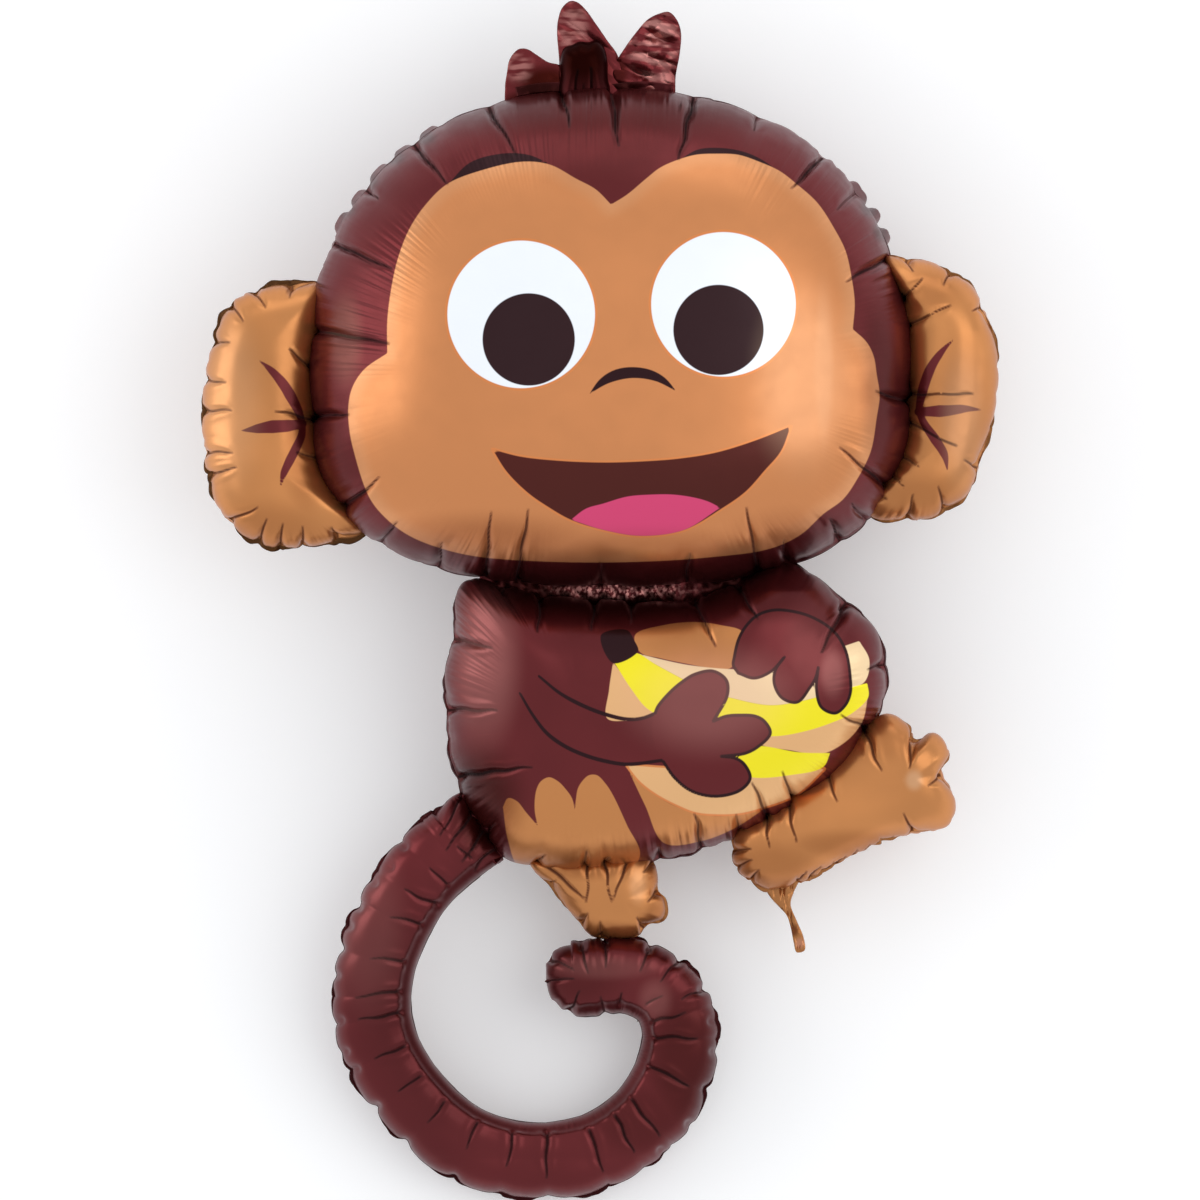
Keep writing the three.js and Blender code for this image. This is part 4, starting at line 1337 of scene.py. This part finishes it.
HEAD_PRINT = {
    "face": FACE, "left_brow": LEFT_BROW, "right_brow": RIGHT_BROW, "left_eye": LEFT_EYE,
    "right_eye": RIGHT_EYE, "left_pupil": LEFT_PUPIL, "right_pupil": RIGHT_PUPIL, "nose": NOSE,
    "mouth": MOUTH, "tongue": TONGUE,
}
# Orange rims stand this far out of the ink that they edge, in pixels of the sheet.
EYE_RIM = 2.5
MOUTH_RIM = 2.0
BANANA_RIM = 2.0
FACE_FADE = 18.0


class BALLOON_OT_head(BalloonOperator, bpy.types.Operator):
    """Add the head with its face and its weld margin"""
    bl_idname = "balloon.head"
    bl_label = "Head"

    def execute(self, context):
        head, front, edge = add_pillow(
            "head", HEAD_OUTLINE, SPINES["head"], self.sizes.head, HEAD_CREASES,
            sectors=780, front_rings=100, back_rings=16,
            crease_depth=0.0036, crease_width=2.7, back_pitch=46, swell=0.0014, bulge=0.036, scallop=2.5,
            back_creases=HEAD_BACK_CREASES, back_lobes=BACK_LOBES, seed=5,
        )
        for name, outline in HEAD_PRINT.items():
            write_region(head, front, name, outline)
        dark, orange, maroon = (self.colour(name) for name in ("dark", "orange", "maroon"))
        layers = [
            {"field": "left_brow", "colour": dark},
            {"field": "right_brow", "colour": dark},
            {"field": "face", "colour": self.colour("face"), "fade": self.colour("face_light"),
             "fade_over": FACE_FADE, "metal": 0.66},
        ]
        for name in ("left", "right"):
            layers += [
                {"field": name + "_eye", "grow": EYE_RIM, "colour": orange},
                {"field": name + "_eye", "colour": self.colour("white"), "metal": 0.25},
                {"field": name + "_pupil", "colour": dark, "metal": 0.5},
            ]
        layers += [
            {"field": "nose", "colour": dark},
            {"field": "mouth", "grow": MOUTH_RIM, "colour": orange},
            {"field": "mouth", "colour": self.colour("mouth")},
            {"field": "tongue", "colour": self.colour("tongue"), "metal": 0.35},
        ]
        film = film_material(
            "printed head film", maroon, layers, pleats=0.65, pleat_reach=0.15, sheen_tint=WARM_SHEEN,
        )
        finish_piece(head, film)
        # Painted shade: the margin is a dark copy of the maroon, where it falls back from the light.
        self.add_margin(
            "head_weld_margin", "maroon weld margin", edge, shade(maroon, 0.3),
            width=0.7, wave=0.4, pitch=0.02, fall=80, seed=21,
        )
        return {"FINISHED"}


BODY_PRINT = {
    "belly": BELLY, "stem": STEM, "banana": BANANA, "peel_top": PEEL_TOP, "peel_left": PEEL_LEFT,
    "peel_low": PEEL_LOW, "yellow_low": YELLOW_LOW, "crescent": CRESCENT, "low_belly": LOW_BELLY,
    "left_hand": LEFT_HAND, "right_hand": RIGHT_HAND, "fur": FUR,
}
PEEL_METAL = 0.4
YELLOW_METAL = 0.3


class BALLOON_OT_body(BalloonOperator, bpy.types.Operator):
    """Add the body with its arms, its banana and its weld margin"""
    bl_idname = "balloon.body"
    bl_label = "Body"

    def execute(self, context):
        body, front, edge = add_pillow(
            "body", BODY_OUTLINE, SPINES["body"], self.sizes.body, BODY_CREASES,
            sectors=690, front_rings=92, back_rings=14,
            crease_depth=0.0034, crease_width=2.6, back_pitch=40, swell=0.0012, bulge=0.042, seed=31,
        )
        for name, outline in BODY_PRINT.items():
            write_region(body, front, name, outline)
        write_strokes(body, front, "arms", ARM_STROKES)
        write_strokes(body, front, "left_hand_outline", LEFT_HAND_STROKES)
        dark, tan, peach, maroon = (self.colour(name) for name in ("dark", "tan", "peach", "maroon"))
        yellow = self.colour("yellow")
        layers = [
            {"field": "belly", "colour": tan},
            {"field": "low_belly", "colour": tan},
            {"field": "peel_left", "colour": peach, "metal": PEEL_METAL},
            {"field": "peel_top", "colour": self.colour("cream"), "metal": PEEL_METAL},
            {"field": "crescent", "grow": BANANA_RIM, "colour": self.colour("orange")},
            {"field": "crescent", "colour": peach, "metal": PEEL_METAL},
            {"field": "peel_low", "colour": peach, "metal": PEEL_METAL},
            {"field": "yellow_low", "colour": yellow, "metal": YELLOW_METAL},
            {"field": "banana", "colour": yellow, "metal": YELLOW_METAL},
            {"field": "stem", "colour": dark},
            {"field": "fur", "colour": tan},
            {"field": "arms", "colour": dark},
            {"field": "left_hand", "colour": maroon},
            {"field": "left_hand_outline", "colour": dark},
            {"field": "right_hand", "colour": maroon},
            {"field": "right_hand", "line": RIGHT_HAND_LINE, "colour": dark},
        ]
        finish_piece(body, film_material("printed body film", maroon, layers, pleats=0.6, pleat_reach=0.09))
        # Painted shade: the margin is a dark copy of the maroon, where it falls back from the light.
        self.add_margin(
            "body_weld_margin", "body weld margin", edge, shade(maroon, 0.3),
            width=0.8, wave=0.5, pitch=0.018, fall=65, seed=41,
        )
        return {"FINISHED"}


class BALLOON_OT_ears(BalloonOperator, bpy.types.Operator):
    """Add both ears with their weld margins"""
    bl_idname = "balloon.ears"
    bl_label = "Ears"

    def execute(self, context):
        tan = self.colour("tan")
        # Each ear's margin width, and how dark its margin is painted: painted shade where the margin falls
        # back from the light.
        ears = (
            ("left_ear", LEFT_EAR_OUTLINE, LEFT_EAR_CREASES, LEFT_EAR_STROKES, 0.8, 0.14, 51),
            ("right_ear", RIGHT_EAR_OUTLINE, RIGHT_EAR_CREASES, RIGHT_EAR_STROKES, 0.45, 0.35, 61),
        )
        for name, outline, creases, strokes, margin_share, margin_shade, seed in ears:
            ear, front, edge = add_pillow(
                name, outline, SPINES[name], self.sizes.ear, creases,
                sectors=420, front_rings=40, back_rings=14,
                crease_depth=0.0026, crease_width=2.3, back_pitch=30, swell=0.0008, bulge=0.05,
                weld_wave=0.0021, seed=seed,
            )
            write_strokes(ear, front, "marks", strokes)
            film = film_material(
                name + " film", tan, [{"field": "marks", "colour": self.colour("maroon")}],
                pleats=0.4, pleat_reach=0.035, sheen_tint=WARM_SHEEN,
            )
            finish_piece(ear, film)
            # Painted shade: the margin is a dark copy of the tan.
            self.add_margin(
                name + "_weld_margin", name + " weld margin", edge, shade(tan, margin_shade),
                width=margin_share, wave=0.4, pitch=0.02, fall=20, seed=seed + 5,
            )
        return {"FINISHED"}


class BALLOON_OT_feet(BalloonOperator, bpy.types.Operator):
    """Add the right leg and the left foot with their weld margins"""
    bl_idname = "balloon.feet"
    bl_label = "Leg and foot"

    def execute(self, context):
        tan = self.colour("tan")
        limbs = (
            ("leg", LEG_OUTLINE, LEG_CREASES, self.sizes.leg, 460, 4.0, 71),
            ("foot", FOOT_OUTLINE, FOOT_CREASES, self.sizes.foot, 280, 1.5, 81),
        )
        for name, outline, creases, thickness, sectors, scallop, seed in limbs:
            limb, _, edge = add_pillow(
                name, outline, SPINES[name], thickness, creases,
                sectors=sectors, front_rings=34, back_rings=14,
                crease_depth=0.0026, crease_width=2.3, back_pitch=28, swell=0.0007, weld_wave=0.0014,
                scallop=scallop, seed=seed,
            )
            film = film_material(name + " film", tan, pleats=0.4, pleat_reach=0.022, sheen_tint=WARM_SHEEN)
            finish_piece(limb, film)
            # Painted shade: the margin is a darker copy of the tan, where it falls back from the light.
            self.add_margin(
                name + "_weld_margin", name + " weld margin", edge, shade(tan, 0.6),
                width=0.6, wave=0.5, pitch=0.016, fall=45, seed=seed + 5,
            )
        return {"FINISHED"}


class BALLOON_OT_tail(BalloonOperator, bpy.types.Operator):
    """Add the curled tail with its weld margins"""
    bl_idname = "balloon.tail"
    bl_label = "Tail"

    def execute(self, context):
        maroon = self.colour("maroon")
        creases = [shortened(crease, RIDGE_INSET) for crease in TAIL_CREASES] + TAIL_END_CREASES
        tail, outer, inner = add_tube(
            "tail", TAIL_LINE, half_width=40, tip_width=38.5, thickness=self.sizes.tail, creases=creases,
            notches=TAIL_NOTCHES, around=112, rings=560, root_slope=40, seed=91,
        )
        # Painted shade: the tail's film is a slightly darker copy of the maroon, and its margins a very dark
        # copy.
        finish_piece(tail, film_material("tail film", shade(maroon, 0.92), pleats=0.35, pleat_reach=0.03))
        for name, side, fall in (("tail_outer_margin", outer, 30), ("tail_inner_margin", inner, 80)):
            self.add_margin(
                name, name + " film", side, shade(maroon, 0.22),
                width=0.6, wave=0.4, pitch=0.018, fall=fall, seed=95, closed=False, turned=side is inner,
            )
        return {"FINISHED"}


# Each flap's name, outline, spine, tilt and crumpling in metres.
TUFT_FLAPS = (
    ("tuft_left_flap", [
        (508, 108), (505, 88), (507, 72), (509, 61), (513, 54), (519, 49), (527, 49), (537, 55),
        (548, 62), (561, 66), (566, 80), (566, 108),
    ], ((530, 80), (548, 88)), 0.0, 0.0005),
    ("tuft_middle_flap", [
        (561, 84), (559, 58), (557, 32), (558, 20), (562, 8), (570, 1), (577, 2), (586, 10),
        (596, 24), (607, 40), (618, 56), (624, 84), (622, 112), (580, 114),
    ], ((574, 30), (598, 84)), 0.06, 0.0038),
    ("tuft_right_flap", [
        (606, 92), (614, 66), (626, 46), (638, 30), (647, 20), (658, 14), (669, 12), (677, 20),
        (681, 32), (680, 52), (676, 74), (671, 106), (630, 112),
    ], ((650, 40), (642, 84)), 0.0, 0.0042),
)


class BALLOON_OT_tuft(BalloonOperator, bpy.types.Operator):
    """Add the tuft of hair: a small air pocket and three flaps of film"""
    bl_idname = "balloon.tuft"
    bl_label = "Tuft"

    def execute(self, context):
        maroon = self.colour("maroon")
        root, _, _ = add_pillow(
            "tuft_root", TUFT_ROOT_OUTLINE, SPINES["tuft_root"], self.sizes.tuft_root,
            TUFT_ROOT_CREASES, sectors=180, front_rings=20, back_rings=12,
            crease_depth=0.003, crease_width=2.4, back_pitch=24, swell=0.0005, weld_wave=0.0007,
            scallop=0.5, seed=101,
        )
        # Painted shade: the air pocket under the tuft is a dark copy of the maroon.
        finish_piece(root, film_material("tuft root film", shade(maroon, 0.3), metal=0.9, gloss=0.15))
        for count, (name, outline, spine, tilt, crumpling) in enumerate(TUFT_FLAPS):
            flap = add_flap(
                name, curve_through(outline, closed=True), spine, thickness=0.003, crumpling=crumpling,
                facet=0.03, tilt=tilt, squeeze=1.9, seed=111 + count,
            )
            # Painted light: the flaps are a lighter copy of the maroon, with painted glints.
            film = film_material(
                name + " film", shade(maroon, 1.1), roughness=0.24, folds=False, painted_glint_scale=(50, 150, 50),
                gloss=0.4,
            )
            finish_piece(flap, film)
        return {"FINISHED"}


FILLING_NECK_OUTLINE = curve_through([
    (758, 868), (762, 882), (770, 897), (779, 907), (787, 916), (791, 928), (794, 943), (797, 953),
    (805, 951), (804, 938), (797, 921), (791, 905), (794, 893), (800, 880), (802, 868),
], closed=True)
FILLING_NECK_SPINE = ((780, 882), (799, 942))


class BALLOON_OT_filling_neck(BalloonOperator, bpy.types.Operator):
    """Add the flat neck that the balloon is filled through"""
    bl_idname = "balloon.filling_neck"
    bl_label = "Filling neck"

    def execute(self, context):
        neck = add_flap(
            "filling_neck", FILLING_NECK_OUTLINE, FILLING_NECK_SPINE, thickness=0.0022, crumpling=0.0028,
            facet=0.008, tilt=0.0, squeeze=0.3, seed=121,
        )
        brown = shade(self.colour("tan"), 0.68)
        film = film_material("filling neck film", brown, roughness=0.24, facets=0.06, folds=False)
        finish_piece(neck, film)
        return {"FINISHED"}


# Each strip's name, line, width in pixels, colour, crumpling and rise in metres.
WELD_STRIPS = (
    ("neck_weld", [(480, 576), (550, 592), (620, 597), (700, 592), (778, 567)], 36, "maroon", 0.0016, 0.0),
    ("left_ear_weld", [(322, 296), (316, 340), (313, 400), (320, 450), (342, 500), (356, 520)],
     22, "maroon", 0.002, 0.0),
    ("right_ear_weld", [(890, 268), (905, 310), (909, 370), (905, 430), (893, 465), (872, 500)],
     20, "tan", 0.002, 0.0),
    ("leg_weld", [(744, 828), (780, 808), (826, 774), (862, 734)], 24, "maroon", 0.0025, 0.0),
    ("tuft_right_fold", [(608, 91), (640, 88), (673, 91)], 13, "maroon", 0.0012, 0.004),
    ("tuft_left_fold", [(516, 92), (540, 88), (562, 87)], 10, "maroon", 0.001, 0.003),
    ("foot_weld", [(542, 868), (590, 868), (646, 862)], 22, "tan", 0.002, 0.0),
    ("tail_weld", [(470, 792), (478, 812), (490, 838), (506, 854)], 30, "maroon", 0.006, 0.012),
)


class BALLOON_OT_welds(BalloonOperator, bpy.types.Operator):
    """Add the crumpled strips of welded film between the chambers"""
    bl_idname = "balloon.welds"
    bl_label = "Weld strips"

    def execute(self, context):
        for count, (name, line, width, ink, crumpling, rise) in enumerate(WELD_STRIPS):
            strip = add_strip(name, line, width, rise, crumpling, self.sizes.gauge, seed=131 + count)
            # Painted shade: each strip is a dark copy of its film's colour, as it lies in shade between the
            # chambers, with painted glints.
            film = film_material(
                name + " film", shade(self.colour(ink), 0.45), roughness=0.25, facets=0.08, folds=False,
                painted_glint_scale=(420, 300, 100), gloss=0.4,
            )
            finish_piece(strip, film)
        return {"FINISHED"}


# The stage. Each softbox has its place, width, height and power in watts.
CAMERA_HEIGHT = 30.0
SENSOR = 36.0
VIEW_END = 60
FLOOR_SIZE = 30
FLOOR_GLOW = 0.16
SKY_COLOUR = (0.93, 0.95, 1.0, 1)
SKY_STRENGTH = 0.86
LIT_POINT = (0, 0, 0.1)
SOFTBOXES = (
    ("softbox_left", (-2.6, 0.5, 1.1), 1.6, 2.4, 17),
    ("softbox_right", (1.5, 0.1, 2.3), 2.0, 2.2, 14),
    ("softbox_low", (2.6, 0.1, 0.8), 0.4, 1.3, 2.5),
    ("softbox_top", (0.2, 2.7, 1.1), 2.4, 1.2, 8),
)


def aim(thing, target):
    way = Vector(target) - thing.location
    thing.rotation_euler = way.to_track_quat("-Z", "Y").to_euler()


def add_softbox(name, place, width, height, power):
    bpy.ops.object.select_all(action="DESELECT")
    bpy.ops.object.light_add(type="AREA", location=place)
    box = bpy.context.object
    box.name = name
    box.data.shape = "RECTANGLE"
    box.data.size = width
    box.data.size_y = height
    box.data.energy = power
    aim(box, LIT_POINT)


class BALLOON_OT_stage(BalloonOperator, bpy.types.Operator):
    """Add the pale floor, the soft lights and the camera straight above"""
    bl_idname = "balloon.stage"
    bl_label = "Stage"

    def execute(self, context):
        bpy.ops.object.select_all(action="DESELECT")
        bpy.ops.mesh.primitive_plane_add(size=FLOOR_SIZE, location=(0, 0, -0.0005))
        floor = bpy.context.object
        floor.name = "floor"
        material = bpy.data.materials.new("pale floor")
        material.use_nodes = True
        shader = material.node_tree.nodes["Principled BSDF"]
        shader.inputs["Base Color"].default_value = self.colour("floor")
        shader.inputs["Roughness"].default_value = 0.9
        shader.inputs["Emission Color"].default_value = (1, 1, 1, 1)
        shader.inputs["Emission Strength"].default_value = FLOOR_GLOW
        floor.data.materials.append(material)
        for name, place, width, height, power in SOFTBOXES:
            add_softbox(name, place, width, height, power)
        context.scene.view_settings.view_transform = "Standard"
        world = bpy.data.worlds.new("pale studio")
        world.use_nodes = True
        sky = world.node_tree.nodes["Background"]
        sky.inputs["Color"].default_value = SKY_COLOUR
        sky.inputs["Strength"].default_value = SKY_STRENGTH
        context.scene.world = world
        bpy.ops.object.camera_add(location=(0, 0, CAMERA_HEIGHT), rotation=(0, 0, 0))
        camera = bpy.context.object
        camera.name = "camera"
        camera.data.sensor_width = SENSOR
        camera.data.lens = SENSOR * (CAMERA_HEIGHT - HEAD_WELD_HEIGHT) / HEIGHT
        camera.data.clip_end = VIEW_END
        context.scene.camera = camera
        return {"FINISHED"}


class BALLOON_PT_panel(bpy.types.Panel):
    """The balloon's sizes, colours and pieces"""
    bl_idname = "BALLOON_PT_panel"
    bl_label = "Monkey foil balloon"
    bl_space_type = "VIEW_3D"
    bl_region_type = "UI"
    bl_category = "Balloon"

    def draw(self, context):
        layout = self.layout
        for group in (context.scene.balloon_sizes, context.scene.balloon_colours):
            box = layout.box()
            for name in group.__annotations__:
                box.prop(group, name)
        for operator in OPERATORS:
            layout.operator(operator.bl_idname)


OPERATORS = (
    BALLOON_OT_head, BALLOON_OT_body, BALLOON_OT_ears, BALLOON_OT_feet, BALLOON_OT_tail, BALLOON_OT_tuft,
    BALLOON_OT_filling_neck, BALLOON_OT_welds, BALLOON_OT_stage,
)
CLASSES = (BalloonSizes, BalloonColours) + OPERATORS + (BALLOON_PT_panel,)


def register():
    for made in CLASSES:
        bpy.utils.register_class(made)
    bpy.types.Scene.balloon_sizes = bpy.props.PointerProperty(type=BalloonSizes)
    bpy.types.Scene.balloon_colours = bpy.props.PointerProperty(type=BalloonColours)


def unregister():
    del bpy.types.Scene.balloon_sizes
    del bpy.types.Scene.balloon_colours
    for made in reversed(CLASSES):
        bpy.utils.unregister_class(made)


def main():
    register()
    bpy.ops.balloon.head()
    bpy.ops.balloon.body()
    bpy.ops.balloon.ears()
    bpy.ops.balloon.feet()
    bpy.ops.balloon.tail()
    bpy.ops.balloon.tuft()
    bpy.ops.balloon.filling_neck()
    bpy.ops.balloon.welds()
    bpy.ops.balloon.stage()


if __name__ == "__main__":
    main()
